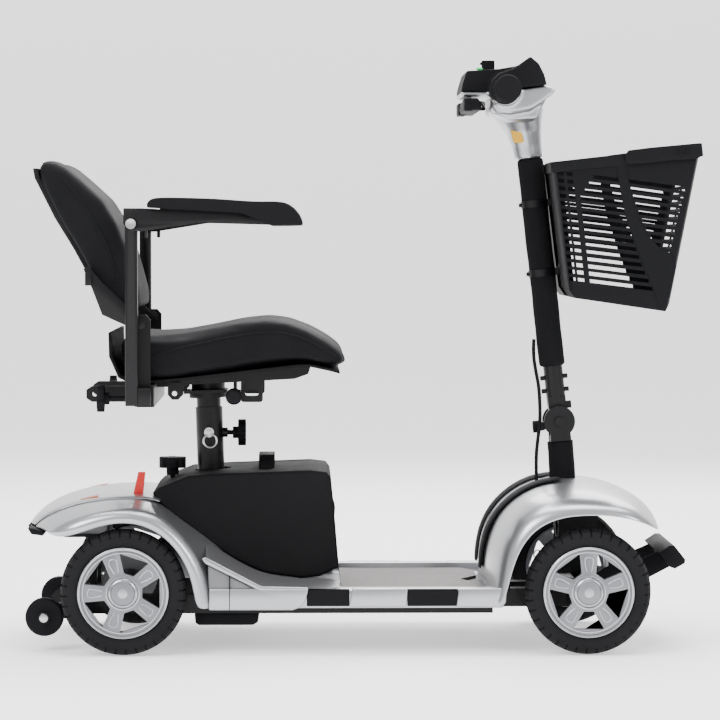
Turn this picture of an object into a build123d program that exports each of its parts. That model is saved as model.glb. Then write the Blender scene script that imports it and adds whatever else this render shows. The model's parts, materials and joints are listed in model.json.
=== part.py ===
from build123d import *
import os
from math import cos, radians, sin, tan

os.makedirs("parts", exist_ok=True)

# Mobility scooter, four wheels. +X is forward, +Y is the rider's left, +Z is up.
# The origin is on the ground, under the middle of the whole machine. Sizes are in mm.

sides = {"right": -1, "left": 1}

# --- Wheels -----------------------------------------------------------------------
wheelbase = 749
rear_axle_x = -394
front_axle_x = rear_axle_x + wheelbase
front_datum = front_axle_x - 355  # zero of the lengths along the front panels and the console
track_half = 222
tyre_radius = 101.5
tyre_depth = 29.5
tyre_width = 54
tyre_corner = 11
rim_radius = tyre_radius - tyre_depth
rim_width = 48
rim_wall = 6
spoke_disc = 12
hub_radius = 18
window_inner = hub_radius + 13
window_outer = rim_radius - rim_wall - 7
window_inner_half = 8
window_outer_half = 25
hub_inner_gap = 19  # from the middle of the tyre inwards to the hub's inner end
cap_radius = 23
cap_height = 7
shaft_radius = 8
stub_radius = 6
running_gap = 0.05
bolt_radius = 4

# --- Frame ------------------------------------------------------------------------
rail_y = 150
rail_width = 30
rail_bottom = 60
rail_height = 30
rail_top = rail_bottom + rail_height
rail_rear_x = rear_axle_x - 71
rail_front_x = front_axle_x - 150
nose_rail_y = 55
nose_rail_front = front_axle_x + 17
clamp_width = 24
plate = 6
tip_radius = 31
tip_wide = 24
tip_x = rail_rear_x - 60
tip_z = 56
tip_y = rail_y + 21
tip_shaft = 5

# --- Steering ---------------------------------------------------------------------
steer_lean = radians(4.5)
column_back = 10  # how far the column's axis runs behind the kingpins
kingpin_half = 184
kingpin_radius = 5
beam_eye_radius = 9
beam_height = 24
arm_length = 45
arm_thickness = 5
rod_height = 9
rod_radius = 9
plate_gap = 0.6
column_radius = 12
head_tube_radius = 20
head_tube_bottom = 42
head_tube_top = 150
hinge_height = 265  # along the column, above the front axle
hinge_disc_radius = 26
hinge_cheek = 6
tongue_half = 18
hinge_pin_radius = 5
hinge_gap = 0.3

# --- Tiller -----------------------------------------------------------------------
tiller_lean = radians(6.35)
tiller_radius = 16
sleeve_radius = 21
sleeve_bottom = 92
sleeve_top = 440
column_sleeve_bottom = 160
column_sleeve_top = 232

# --- Seat and its post ------------------------------------------------------------
post_lean = radians(1.9)
post_top_x = -262
post_top_z = 389
post_outer_radius = 22.5
post_radius = 20
post_depth = 190
post_rise = 16
post_pin_point = (post_top_x + 1, 0, 348)
pin_radius = 4
seat_rise = 50
flange_radius = 32
flange_height = 8
seat_half = 210
hinge_x = -367
hinge_z = 534
back_half = 205
arm_x = -359
arm_tube = 20
arm_tube_height = 28
arm_tube_z = 417
arm_out = 248
arm_post_width = 20
arm_pivot_z = 694
pad_width = 50

# --- Body panels ------------------------------------------------------------------
panel = 4
pan_half = 235
pan_rear_x = -223
pan_front_x = front_axle_x - 138
pan_bottom = 76
pan_rim_top = 107
pan_floor = 4
pan_inner_half = 203
mat_thickness = 5
mat_rear_x = -42
mat_front_x = pan_front_x - 28
box_half = 147
box_rest_x, box_rest_z = -108, 115  # lowest point of the battery box
box_wall = 4
post_tunnel = 31
hood_half = 125
tail_half = 150
fender_out = 247
rear_arch_radius = tyre_radius + 12.5
rear_crest_radius = tyre_radius + 33.5
front_arch_radius = tyre_radius + 26.5
front_crest_radius = tyre_radius + 48.5
rest_gap = 0.3


def keep(built, label):
    """Labels a finished piece and writes it as one file."""
    built.part.label = label
    export_step(built.part, f"parts/{label}.step")


def leaning(origin, lean):
    """A plane whose normal leans back from vertical by an angle in radians."""
    return Plane(origin=origin, x_dir=(cos(lean), 0, sin(lean)), z_dir=(-sin(lean), 0, cos(lean)))


def side_plane(y):
    """The upright plane along the machine at a distance y to the left."""
    return Plane.XZ.offset(-y)


def front_plane(y):
    """The same plane for what moves with the front axle."""
    return Plane(origin=(front_datum, y, 0), x_dir=(1, 0, 0), z_dir=(0, -1, 0))


steer = leaning((front_axle_x, 0, tyre_radius), steer_lean)
hinge_point = steer.from_local_coords((-column_back, 0, hinge_height))
tiller = leaning(tuple(hinge_point), tiller_lean)
post = leaning((post_top_x, 0, post_top_z), post_lean)

# === Rolling gear =================================================================
for side_name, side in sides.items():
    for end, axle_x, window_start in (("rear", rear_axle_x, 0), ("front", front_axle_x, 54)):
        centre = Plane(origin=(axle_x, side * track_half, tyre_radius))
        axle = Axis((axle_x, 0, tyre_radius), (0, 1, 0))
        face = Plane(origin=centre.origin, x_dir=(1, 0, 0), z_dir=(0, side, 0))
        with BuildPart() as tyre:
            with BuildSketch(centre):
                with Locations(((tyre_radius + rim_radius) / 2, 0)):
                    RectangleRounded(tyre_depth, tyre_width, tyre_corner)
            revolve(axis=axle)
        keep(tyre, f"{end}_tyre_{side_name}")

        bore = shaft_radius if end == "rear" else stub_radius + running_gap
        with BuildPart() as rim:
            with BuildSketch(face.offset(-rim_width / 2)):
                Circle(rim_radius)
                Circle(rim_radius - rim_wall, mode=Mode.SUBTRACT)
            extrude(amount=rim_width)
            with BuildSketch(face.offset(rim_width / 2 - spoke_disc)):
                Circle(rim_radius - rim_wall)
                with PolarLocations(0, 5, start_angle=window_start):
                    Polygon(
                        (window_inner, -window_inner_half), (window_outer, -window_outer_half),
                        (window_outer, window_outer_half), (window_inner, window_inner_half),
                        align=None, mode=Mode.SUBTRACT,
                    )
            extrude(amount=spoke_disc)
            with BuildSketch(face.offset(-hub_inner_gap)):
                Circle(hub_radius)
            extrude(amount=rim_width / 2 + hub_inner_gap)
            with BuildSketch(face.offset(-hub_inner_gap)):
                Circle(bore)
            extrude(amount=rim_width / 2 + hub_inner_gap, mode=Mode.SUBTRACT)
        with BuildPart() as rim_and_cap:
            add(rim.part)
            with BuildSketch(face.offset(rim_width / 2)):
                Circle(cap_radius)
            extrude(amount=cap_height, taper=35)
            if end == "rear":
                with BuildSketch(face.offset(-(track_half - 25))):
                    Circle(shaft_radius)
                extrude(amount=track_half - 25 + rim_width / 2)
        keep(rim_and_cap, f"{end}_rim_{side_name}")

# === Frame and what is bolted to it ===============================================
axle_tube_radius = 20
tail_cross_x = rear_axle_x - 58
seat_cross_x = -255
tray_z = 176
with BuildPart(steer) as front_axle_beam:
    Box(26, 2 * (kingpin_half - 20), beam_height)
    Box(18, 2 * kingpin_half, beam_height)
    with Locations((0, -kingpin_half, 0), (0, kingpin_half, 0)):
        Cylinder(beam_eye_radius, beam_height)
        Cylinder(kingpin_radius + running_gap, beam_height, mode=Mode.SUBTRACT)
keep(front_axle_beam, "front_axle_beam")

with BuildPart() as main_frame:
    for rail_side in (-1, 1):
        # long rail, short nose rail, axle clamp and the post that carries the controller tray
        with Locations(((rail_rear_x + rail_front_x) / 2, rail_side * rail_y, rail_bottom + rail_height / 2)):
            Box(rail_front_x - rail_rear_x, rail_width, rail_height)
        nose_length = nose_rail_front - rail_front_x + rail_width
        nose_middle = nose_rail_front - nose_length / 2
        with Locations((nose_middle, rail_side * nose_rail_y, rail_bottom + rail_height / 2)):
            Box(nose_length, rail_width, rail_height)
        with Locations((rear_axle_x, rail_side * rail_y, (rail_top + tyre_radius) / 2)):
            Box(2 * axle_tube_radius + 2 * plate, clamp_width, tyre_radius - rail_top)
        with Locations((tail_cross_x, rail_side * 60, (rail_top + tray_z) / 2)):
            Box(12, 12, tray_z - rail_top)
        # arm that holds the anti-tip wheel behind the rear axle
        with BuildSketch(side_plane(rail_side * (rail_y - 4))):
            Polygon(
                (rail_rear_x + 12, rail_bottom), (rail_rear_x + 12, rail_top),
                (tip_x - 1, tip_z + 13), (tip_x - 13, tip_z), (tip_x - 1, tip_z - 13), align=None,
            )
        extrude(amount=4, both=True)
        with Locations(Location((tip_x, rail_side * (tip_y - 1), tip_z), (90, 0, 0))):
            Cylinder(tip_shaft, 40)
        with Locations(Location((tip_x, rail_side * (tip_y + 20.5), tip_z), (90, 0, 0))):
            Cylinder(tip_shaft + 4, 5)
    for cross_x, cross_width in ((tail_cross_x, 26), (seat_cross_x, 40), (rail_front_x - 15, rail_width)):
        with Locations((cross_x, 0, rail_bottom + rail_height / 2)):
            Box(cross_width, 2 * rail_y, rail_height)
    with Locations((tail_cross_x - 10, 0, tray_z + 2)):
        Box(76, 132, 4)
    # saddles for the axle tubes
    with Locations(Location((rear_axle_x, 0, tyre_radius), (90, 0, 0))):
        Cylinder(axle_tube_radius + running_gap, 2 * (rail_y + rail_width), mode=Mode.SUBTRACT)
    # seat post tube, standing on its cross member
    with BuildSketch(post.offset(-post_depth - 40)):
        Circle(post_outer_radius)
    extrude(amount=post_depth + 40)
    with Locations((seat_cross_x, 0, (rail_top + 168) / 2)):
        Box(36, 36, 168 - rail_top)
    with Locations(Location((post_top_x + post_outer_radius + 3, 0, post_pin_point[2] - 2), (0, 90, 0))):
        Cylinder(8, 12)
    with BuildSketch(post.offset(-post_depth - 12)):
        Circle(post_radius + running_gap)
    extrude(amount=post_depth + 12, mode=Mode.SUBTRACT)
    # clamp screw and pin holes near the top of the post tube
    with Locations(Location((post_top_x + 20, 0, post_pin_point[2] - 2), (0, 90, 0))):
        Cylinder(pin_radius + 0.1, 50, mode=Mode.SUBTRACT)
    with Locations(Location(post_pin_point, (90, 0, 0))):
        Cylinder(pin_radius + 0.1, 60, mode=Mode.SUBTRACT)
    # tower round the steering head
    for rail_side in (-1, 1):
        with Locations((front_axle_x - 2, rail_side * 50, (tyre_radius + beam_height / 2 + 236) / 2)):
            Box(66, plate, 236 - tyre_radius - beam_height / 2)
    for shelf in (head_tube_bottom + 8, head_tube_top - 28):
        with BuildSketch(steer.offset(shelf)):
            with Locations((-column_back + 6, 0)):
                Rectangle(54, 100)
        extrude(amount=plate)
    with BuildSketch(steer.offset(head_tube_bottom)):
        with Locations((-column_back, 0)):
            Circle(head_tube_radius)
    extrude(amount=head_tube_top - head_tube_bottom)
    with BuildSketch(steer.offset(head_tube_bottom - 20)):
        with Locations((-column_back, 0)):
            Circle(column_radius + running_gap)
    extrude(amount=head_tube_top, mode=Mode.SUBTRACT)
    add(front_axle_beam.part, mode=Mode.SUBTRACT)
keep(main_frame, "main_frame")

knuckle_low = beam_height / 2 + plate_gap
for side_name, side in sides.items():
    with BuildPart(steer) as knuckle:
        for level in (-1, 1):
            with Locations((0, side * (kingpin_half + 1), level * (knuckle_low + arm_thickness / 2))):
                Box(22, 30, arm_thickness)
        with Locations((0, side * (kingpin_half + 13), 0)):
            Box(22, 6, 2 * (knuckle_low + arm_thickness))
        with Locations((0, side * kingpin_half, 0)):
            Cylinder(kingpin_radius, 2 * knuckle_low)
        with Locations((-arm_length / 2, side * kingpin_half, knuckle_low + arm_thickness / 2)):
            Box(arm_length, 14, arm_thickness)
        with Locations((-arm_length, side * kingpin_half, knuckle_low + arm_thickness / 2)):
            Cylinder(8, arm_thickness)
            Cylinder(bolt_radius + hinge_gap, arm_thickness, mode=Mode.SUBTRACT)
        stub_length = track_half + rim_width / 2 - kingpin_half - 14
        with Locations(Location((0, side * (kingpin_half + 14 + stub_length / 2), 0), (90, 0, 0))):
            Cylinder(stub_radius, stub_length)
    keep(knuckle, f"steering_knuckle_{side_name}")

    # the right rod lies over the arms and the left rod under them
    over = 1 if side < 0 else -1
    rod_z = knuckle_low + arm_thickness / 2 + over * (arm_thickness / 2 + hinge_gap + rod_height / 2)
    with BuildPart(steer) as tie_rod:
        with Locations((-column_back - arm_length, 0, rod_z)):
            Cylinder(rod_radius, rod_height)
        with Locations((-arm_length, side * kingpin_half, rod_z)):
            Cylinder(rod_radius, rod_height)
            with Locations((0, 0, -over * (rod_height / 2 + arm_thickness / 2 + hinge_gap))):
                Cylinder(bolt_radius, arm_thickness + 2 * hinge_gap)
        with Locations(Location(
            (-arm_length - column_back / 2, side * kingpin_half / 2, rod_z),
            (90, 0, 0),
        )):
            Box(8, rod_height - 2, kingpin_half, rotation=(0, 0, 0))
        with Locations((-column_back - arm_length, 0, rod_z)):
            Cylinder(bolt_radius + running_gap, rod_height, mode=Mode.SUBTRACT)
    keep(tie_rod, f"tie_rod_{side_name}")

with BuildPart(steer) as steering_column:
    # shaft, pitman arm with its bolt, collar over the head tube and the yoke of the hinge
    yoke_bottom = hinge_height - hinge_disc_radius - 8
    with Locations((-column_back, 0, (knuckle_low + yoke_bottom + 4) / 2)):
        Cylinder(column_radius, yoke_bottom + 4 - knuckle_low)
    with Locations((-column_back, 0, knuckle_low + arm_thickness / 2)):
        Cylinder(16, arm_thickness)
    with Locations((-column_back - arm_length / 2, 0, knuckle_low + arm_thickness / 2)):
        Box(arm_length, 16, arm_thickness)
    with Locations((-column_back - arm_length, 0, knuckle_low + arm_thickness / 2)):
        Cylinder(8, arm_thickness)
        Cylinder(bolt_radius, 2 * (rod_height + hinge_gap) + arm_thickness)
    with Locations((-column_back, 0, head_tube_top + 0.3 + 4)):
        Cylinder(head_tube_radius - 1, 8)
    with Locations((-column_back, 0, (column_sleeve_top + yoke_bottom + 8) / 2)):
        Cylinder(19, yoke_bottom + 8 - column_sleeve_top)
    with Locations((-column_back, 0, yoke_bottom + 5)):
        Box(34, 2 * (tongue_half + hinge_gap + hinge_cheek), 8)
    for cheek in (-1, 1):
        with Locations(Location(
            (-column_back, cheek * (tongue_half + hinge_gap + hinge_cheek / 2), hinge_height), (90, 0, 0)
        )):
            Cylinder(hinge_disc_radius, hinge_cheek)
        with Locations((
            -column_back, cheek * (tongue_half + hinge_gap + hinge_cheek / 2),
            hinge_height - hinge_disc_radius / 2 - 4,
        )):
            Box(34, hinge_cheek, hinge_disc_radius + 4)
    # lug across the back of the yoke, tapped for the lock knob
    with Locations((-column_back - 28, (tongue_half + hinge_gap + hinge_cheek - 8) / 2, hinge_height - 7)):
        Box(7, tongue_half + hinge_gap + hinge_cheek + 8, 14)
    with Locations(Location((-column_back - 28, 0, hinge_height - 7), (0, 90, 0))):
        Cylinder(3 + running_gap, 10, mode=Mode.SUBTRACT)
    with Locations(Location((-column_back, 0, hinge_height), (90, 0, 0))):
        yoke_half = tongue_half + hinge_gap + hinge_cheek
        Cylinder(hinge_pin_radius, 2 * yoke_half + 10)
        with Locations((0, 0, yoke_half + 3), (0, 0, -yoke_half - 3)):
            Cylinder(8, 5)
keep(steering_column, "steering_column")

with BuildPart() as column_sleeve:
    with BuildSketch(steer.offset(column_sleeve_bottom)):
        with Locations((-column_back, 0)):
            Circle(sleeve_radius)
            Circle(column_radius + rest_gap, mode=Mode.SUBTRACT)
    extrude(amount=column_sleeve_top - column_sleeve_bottom)
keep(column_sleeve, "column_sleeve")

# === Tiller =======================================================================
tiller_top = 470
with BuildPart(tiller) as tiller_tube:
    with Locations(Location((0, 0, 0), (90, 0, 0))):
        Cylinder(hinge_disc_radius - 3, 2 * tongue_half)
    with Locations((0, 0, 30)):
        Box(30, 30, 24)
    with Locations((0, 0, (tiller_top + 30) / 2)):
        Cylinder(tiller_radius, tiller_top - 30)
    with Locations((19, 0, 26)):
        Box(10, 12, 12)
    # cross bolts that set the height of the tiller
    for bolt_z in (52, 74):
        with Locations(Location((0, 0, bolt_z), (0, 90, 0))):
            Cylinder(4, 2 * tiller_radius + 14)
    with Locations(Location((0, 0, 0), (90, 0, 0))):
        Cylinder(hinge_pin_radius + running_gap, 2 * tongue_half + 2, mode=Mode.SUBTRACT)

with BuildPart() as tiller_sleeve:
    with BuildSketch(tiller.offset(sleeve_bottom)):
        Circle(sleeve_radius)
        Circle(tiller_radius + rest_gap, mode=Mode.SUBTRACT)
    extrude(amount=sleeve_top - sleeve_bottom)
keep(tiller_sleeve, "tiller_sleeve")


lock_knob_frame = Plane(
    origin=steer.from_local_coords((-column_back - 25, 0, hinge_height - 7)), x_dir=(0, 1, 0),
    z_dir=(-cos(steer_lean), 0, -sin(steer_lean)),
)
with BuildPart(lock_knob_frame) as hinge_lock_knob:
    Cylinder(3, 9, align=(Align.CENTER, Align.CENTER, Align.MIN))
    with BuildSketch(lock_knob_frame.offset(9)):
        Circle(10)
        with PolarLocations(11, 6):
            Circle(2.6, mode=Mode.SUBTRACT)
    extrude(amount=10)
keep(hinge_lock_knob, "hinge_lock_knob")

# === Console ======================================================================
wing_half = 150
grip_x, grip_z, grip_radius, grip_end = front_datum + 225, 912, 21.5, 232
paddle_x, paddle_half, paddle_z = front_datum + 181, 140, 890
paddle_pivot_x = front_datum + 216
dial_x, dial_z = front_datum + 205, 950.3
pivot_frame = leaning((paddle_pivot_x, 0, 864), tiller_lean)
with BuildPart() as console_base:
    # silver lower shell with the neck that clamps the tiller tube
    with BuildSketch(front_plane(0)):
        Polygon(
            (206, 911), (206, 877), (222, 874), (231, 866), (243, 835), (296, 837),
            (288, 886), (301, 907), (309, 913), (293, 921), (253, 914), align=None,
        )
    extrude(amount=45, both=True)
    with BuildSketch(tiller.offset(sleeve_top + rest_gap)):
        Circle(25)
    extrude(amount=40)
    for wing in (-1, 1):
        with BuildSketch(front_plane(wing * (wing_half + 45) / 2)):
            Polygon((206, 911), (206, 896), (262, 892), (300, 907), (309, 913), (293, 921), align=None)
        extrude(amount=(wing_half - 45) / 2, both=True)
    with Locations(Location((grip_x, 0, grip_z), (90, 0, 0))):
        Cylinder(11.2, 2 * wing_half + 2, mode=Mode.SUBTRACT)
    with BuildSketch(tiller.offset(sleeve_top)):
        Circle(tiller_radius + running_gap)
    extrude(amount=tiller_top - sleeve_top, mode=Mode.SUBTRACT)
    # pivot pin of the throttle, with its head below
    with BuildSketch(pivot_frame):
        Circle(3)
    extrude(amount=16)
    with BuildSketch(pivot_frame.offset(-3)):
        Circle(6)
    extrude(amount=3)
keep(console_base, "console_base")

with BuildPart() as console_top:
    # black upper shell, widening into a wing over each grip
    with BuildSketch(front_plane(0)):
        Polygon(
            (155, 911.3), (166, 948), (219, 950), (245, 956), (267, 968), (280, 955), (289, 937),
            (293, 921.4), (206, 911.4), align=None,
        )
    extrude(amount=105, both=True)
    for wing in (-1, 1):
        with BuildSketch(front_plane(wing * (wing_half + 105) / 2)):
            Polygon(
                (196, 911.4), (200, 936), (228, 945), (267, 968), (280, 955), (289, 937), (293, 921.4),
                (206, 911.4), align=None,
            )
        extrude(amount=(wing_half - 105) / 2, both=True)
    with Locations(Location((grip_x, 0, grip_z), (90, 0, 0))):
        Cylinder(11.2, 2 * wing_half + 2, mode=Mode.SUBTRACT)
keep(console_top, "console_top")

with BuildPart() as hand_grips:
    # one steel bar with a rubber grip on each end
    with Locations(Location((grip_x, 0, grip_z), (90, 0, 0))):
        Cylinder(11, 2 * grip_end - 8)
        for wing in (-1, 1):
            with Locations((0, 0, wing * (grip_end + wing_half + 1) / 2)):
                Cylinder(grip_radius, grip_end - wing_half - 1)
    fillet(hand_grips.edges().filter_by(GeomType.CIRCLE).group_by(Axis.Y)[-1], 5)
    fillet(hand_grips.edges().filter_by(GeomType.CIRCLE).group_by(Axis.Y)[0], 5)
keep(hand_grips, "hand_grips")

with BuildPart() as throttle_paddle:
    with Locations((paddle_x, 0, paddle_z)):
        Box(20, 2 * paddle_half, 18)
    for wing in (-1, 1):
        with Locations((paddle_x - 8, wing * (paddle_half - 38), paddle_z)):
            Box(30, 76, 24)
    with Locations((paddle_x + 19, 0, 868)):
        Box(34, 20, 7)
    with Locations((paddle_x + 5, 0, 876)):
        Box(12, 20, 14)
    with BuildSketch(pivot_frame.offset(0.5)):
        Circle(9)
    extrude(amount=5)
    with BuildSketch(pivot_frame.offset(-5)):
        Circle(3 + running_gap)
    extrude(amount=30, mode=Mode.SUBTRACT)
keep(throttle_paddle, "throttle_paddle")

dial_frame = leaning((dial_x, 0, dial_z), 0)
with BuildPart(dial_frame) as speed_dial:
    with BuildSketch(dial_frame):
        Circle(11)
        with PolarLocations(11.4, 12):
            Circle(1.1, mode=Mode.SUBTRACT)
    extrude(amount=17)
    fillet(speed_dial.faces().sort_by(Axis.Z)[-1].edges(), 0.8)
    with Locations((-11, 0, 12)):
        Box(5, 4, 4)
keep(speed_dial, "speed_dial")

# === Basket =======================================================================
basket_rear, basket_front, basket_half = 24.5, 277, 165
basket_top, basket_wall = 430, 3
clip_levels, clip_x, clip_pin = (366, 250), 32, 3.5
recess_x, recess_half = 44, 36
handle_pivot_x, handle_pivot_z, handle_reach, handle_pin, handle_ear = 150, 422, 132, 3, 9
basket_side = Plane(origin=tiller.origin, x_dir=tiller.x_dir, z_dir=(0, -1, 0))
outline = (
    (basket_rear, basket_top), (basket_rear + 2, 224), (basket_rear + 12, 206), (186, 168), (196, 181),
    (basket_front, 412), (basket_front, basket_top),
)
inner_outline = (
    (basket_rear + basket_wall, basket_top + 1), (basket_rear + 2 + basket_wall, 225.5),
    (basket_rear + 12 + basket_wall, 209), (184.5, 171.6), (193, 182), (basket_front - basket_wall, 413),
    (basket_front - basket_wall, basket_top + 1),
)
with BuildPart() as basket:
    with BuildSketch(basket_side):
        Polygon(*outline, align=None)
    extrude(amount=basket_half, both=True)
    with BuildSketch(basket_side):
        Polygon(*inner_outline, align=None)
    extrude(amount=basket_half - basket_wall, both=True, mode=Mode.SUBTRACT)
    # recess at the back round the tiller, walled inside
    with BuildSketch(basket_side):
        Polygon(
            (basket_rear + 0.5, basket_top), (basket_rear + 2.5, 225), (basket_rear + 12.5, 207),
            (recess_x + 3, 202), (recess_x + 3, basket_top), align=None,
        )
    extrude(amount=recess_half + basket_wall, both=True)
    with BuildSketch(basket_side):
        Polygon(
            (basket_rear - 9, 196), (recess_x, 196), (recess_x, basket_top + 1), (basket_rear - 9, basket_top + 1),
            align=None,
        )
    extrude(amount=recess_half, both=True, mode=Mode.SUBTRACT)
    # pins that drop into the clips on the tiller
    for level in clip_levels:
        with BuildSketch(tiller.offset(level - 14)):
            with Locations((clip_x, 0)):
                Circle(clip_pin)
        extrude(amount=36)
        with BuildSketch(tiller.offset(level + 10)):
            with Locations(((clip_x + recess_x) / 2, 0)):
                Rectangle(recess_x - clip_x + 2, 12)
        extrude(amount=12)
    # pivot pins of the carrying handle
    for ear in (-1, 1):
        with BuildSketch(basket_side.offset(-ear * (basket_half - 1))):
            with Locations((handle_pivot_x, handle_pivot_z)):
                Circle(handle_pin)
        extrude(amount=-ear * (handle_ear + 2 * hinge_gap + 4))
        with BuildSketch(basket_side.offset(-ear * (basket_half + handle_ear + 2 * hinge_gap))):
            with Locations((handle_pivot_x, handle_pivot_z)):
                Circle(handle_pin + 2.5)
        extrude(amount=-ear * 3)
keep(basket, "basket")

with BuildPart() as basket_clips:
    for level in clip_levels:
        with BuildSketch(tiller.offset(level - 6)):
            with Locations((clip_x - 4, 0)):
                Rectangle(20, 22)
            Circle(sleeve_radius + 0.3, mode=Mode.SUBTRACT)
            with Locations((clip_x, 0)):
                Circle(clip_pin + 0.3, mode=Mode.SUBTRACT)
        extrude(amount=12)
        # band round the sleeve
        with BuildSketch(tiller.offset(level - 6)):
            Circle(sleeve_radius + 2.3)
            Circle(sleeve_radius + 0.3, mode=Mode.SUBTRACT)
        extrude(amount=12)
        with Locations(Location(tuple(tiller.from_local_coords((-sleeve_radius - 4, 0, level))), (0, 90, 0))):
            Cylinder(3.5, 4)
with BuildPart() as tube_with_clips:
    add(tiller_tube.part)
    add(basket_clips.part)
keep(tube_with_clips, "tiller_tube")

with BuildPart() as basket_handle:
    # bail lying along the rim, hinged on both sides
    with BuildSketch(tiller.offset(basket_top + hinge_gap)):
        with Locations((handle_pivot_x + handle_reach / 2 - 4, 0)):
            Rectangle(handle_reach + 10, 2 * (basket_half + hinge_gap + handle_ear))
        with Locations((handle_pivot_x + handle_reach / 2 - 15, 0)):
            Rectangle(handle_reach + 12, 2 * (basket_half + hinge_gap), mode=Mode.SUBTRACT)
    extrude(amount=10)
    for ear in (-1, 1):
        with BuildSketch(basket_side.offset(-ear * (basket_half + hinge_gap))):
            with Locations((handle_pivot_x, handle_pivot_z)):
                Circle(9)
            with Locations((handle_pivot_x, handle_pivot_z + 9)):
                Rectangle(18, 18)
            with Locations((handle_pivot_x, handle_pivot_z)):
                Circle(handle_pin + running_gap, mode=Mode.SUBTRACT)
        extrude(amount=-ear * handle_ear)
keep(basket_handle, "basket_handle")

# === Cable from the tiller to the front cowl ======================================
cable_radius = 3
upper_route = [(282, -8, 502), (280.5, -10, 478), (285, -14, 448), (290.5, -17, 420), (291.5, -17.5, 393)]
lower_route = [(291.5, -17.5, 393), (292.5, -18, 366), (288, -17.5, 334), (285, -16, 300), (286.5, -15, 262)]


def cable(route):
    """Straight runs joined by the largest arcs that the runs allow."""
    points = [Vector(*p) for p in route]
    radii = []
    for before, here, after in zip(points, points[1:], points[2:]):
        turn = radians((here - before).get_angle(after - here))
        radii.append(0.45 * min((here - before).length, (after - here).length) / tan(turn / 2))
    print("cable radii", [round(r) for r in radii])
    with BuildPart() as tube:
        with BuildLine() as path:
            FilletPolyline(*route, radius=radii)
        with BuildSketch(Plane(origin=path.line @ 0, z_dir=path.line % 0)):
            Circle(cable_radius)
        sweep(path=path.line)
    return tube


upper_cable = cable(upper_route)
keep(upper_cable, "tiller_cable")
lower_cable = cable(lower_route)
keep(lower_cable, "column_cable")

# === Deck =========================================================================
with BuildPart() as floor_pan:
    with Locations(((pan_rear_x + pan_front_x) / 2, 0, (pan_bottom + pan_rim_top) / 2)):
        Box(pan_front_x - pan_rear_x, 2 * pan_half, pan_rim_top - pan_bottom)
    fillet(floor_pan.edges().filter_by(Axis.X).group_by(Axis.Z)[-1], 8)
    with Locations(((pan_rear_x + pan_front_x) / 2, 0, rail_top + pan_floor + 20)):
        Box(pan_front_x - pan_rear_x + 2, 2 * pan_inner_half, 40, mode=Mode.SUBTRACT)
    with Locations(((pan_rear_x + pan_front_x) / 2, 0, rail_top - 20)):
        Box(pan_front_x - pan_rear_x - 2 * panel, 2 * (pan_half - panel), 40, mode=Mode.SUBTRACT)
    # cross rib that the battery box rests on
    with Locations((box_rest_x, 0, (rail_top + pan_floor + box_rest_z - rest_gap) / 2)):
        Box(8, 2 * box_half - 50, box_rest_z - rest_gap - rail_top - pan_floor)
    # rails pass under and through both ends
    for rail_side in (-1, 1):
        with Locations((0, rail_side * rail_y, rail_bottom + rail_height / 2)):
            Box(900, rail_width + 1, rail_height, mode=Mode.SUBTRACT)
        with Locations((pan_front_x, rail_side * nose_rail_y, rail_bottom + rail_height / 2)):
            Box(60, rail_width + 1, rail_height, mode=Mode.SUBTRACT)

with BuildPart() as deck_mat:
    with BuildSketch(Plane.XY.offset(rail_top + pan_floor)):
        Polygon(
            (mat_rear_x, -pan_inner_half + 2), (mat_front_x - 24, -pan_inner_half + 2), (mat_front_x, -150),
            (mat_front_x, -60), (mat_front_x - 30, 0), (mat_front_x, 60),
            (mat_front_x, 150), (mat_front_x - 24, pan_inner_half - 2), (mat_rear_x, pan_inner_half - 2),
            align=None,
        )
    extrude(amount=mat_thickness)
keep(deck_mat, "deck_mat")

with BuildPart() as side_skirts:
    for rail_side in (-1, 1):
        with BuildSketch(Plane.YZ.offset(pan_rear_x + 1)):
            Polygon(
                (rail_side * (pan_half + 4), 73), (rail_side * (pan_half + 4), 113), (rail_side * 153, 158),
                (rail_side * 149, 155), (rail_side * (pan_half + 0.5), 108), (rail_side * (pan_half + 0.5), 73),
                align=None,
            )
        extrude(amount=128)
    # their upper edge follows the battery box down to the deck
    with BuildSketch(side_plane(0)):
        Polygon(
            (pan_rear_x, 165), (-194, 143), (-167, 130), (-140, 122), (box_rest_x, 118), (-90, 116), (-90, 175),
            (pan_rear_x, 175), align=None,
        )
    extrude(amount=pan_half + 10, both=True, mode=Mode.SUBTRACT)
with BuildPart() as pan_with_skirts:
    add(floor_pan.part)
    add(side_skirts.part)
keep(pan_with_skirts, "floor_pan")

# === Battery ======================================================================
box_outline = (
    (-350, 255), (-342, 263), (-315, 274), (-292, 283), (-232, 287), (-92, 292), (-66, 289), (-59, 280), (-55, 241),
    (-46, 133), (-78, 118), (box_rest_x, box_rest_z), (-167, 123), (-194, 135), (-223, 150), (-285, 195), (-326, 224),
    (-345, 243),
)
lock_x = -323
with BuildPart() as box_body:
    with BuildSketch(side_plane(0)):
        Polygon(*box_outline, align=None)
    extrude(amount=box_half, both=True)
    fillet(box_body.faces().filter_by(Axis.Y).edges(), 7)
with BuildPart() as battery_box:
    add(box_body.part)
    with BuildSketch(side_plane(0)):
        with BuildLine():
            Polyline(*box_outline, close=True)
        make_face()
        offset(amount=-box_wall, kind=Kind.INTERSECTION, mode=Mode.REPLACE)
    extrude(amount=box_half - 2 * box_wall, both=True, mode=Mode.SUBTRACT)
    with BuildSketch(Plane.XY.offset(140)):
        with Locations((seat_cross_x, 0)):
            Circle(post_tunnel + box_wall)
    extrude(amount=160)
    add(box_body.part, mode=Mode.INTERSECT)
    with BuildSketch(Plane.XY.offset(120)):
        with Locations((seat_cross_x, 0)):
            Circle(post_tunnel)
        with Locations((lock_x, 0)):
            Circle(bolt_radius + 0.3)
    extrude(amount=200, mode=Mode.SUBTRACT)

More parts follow.
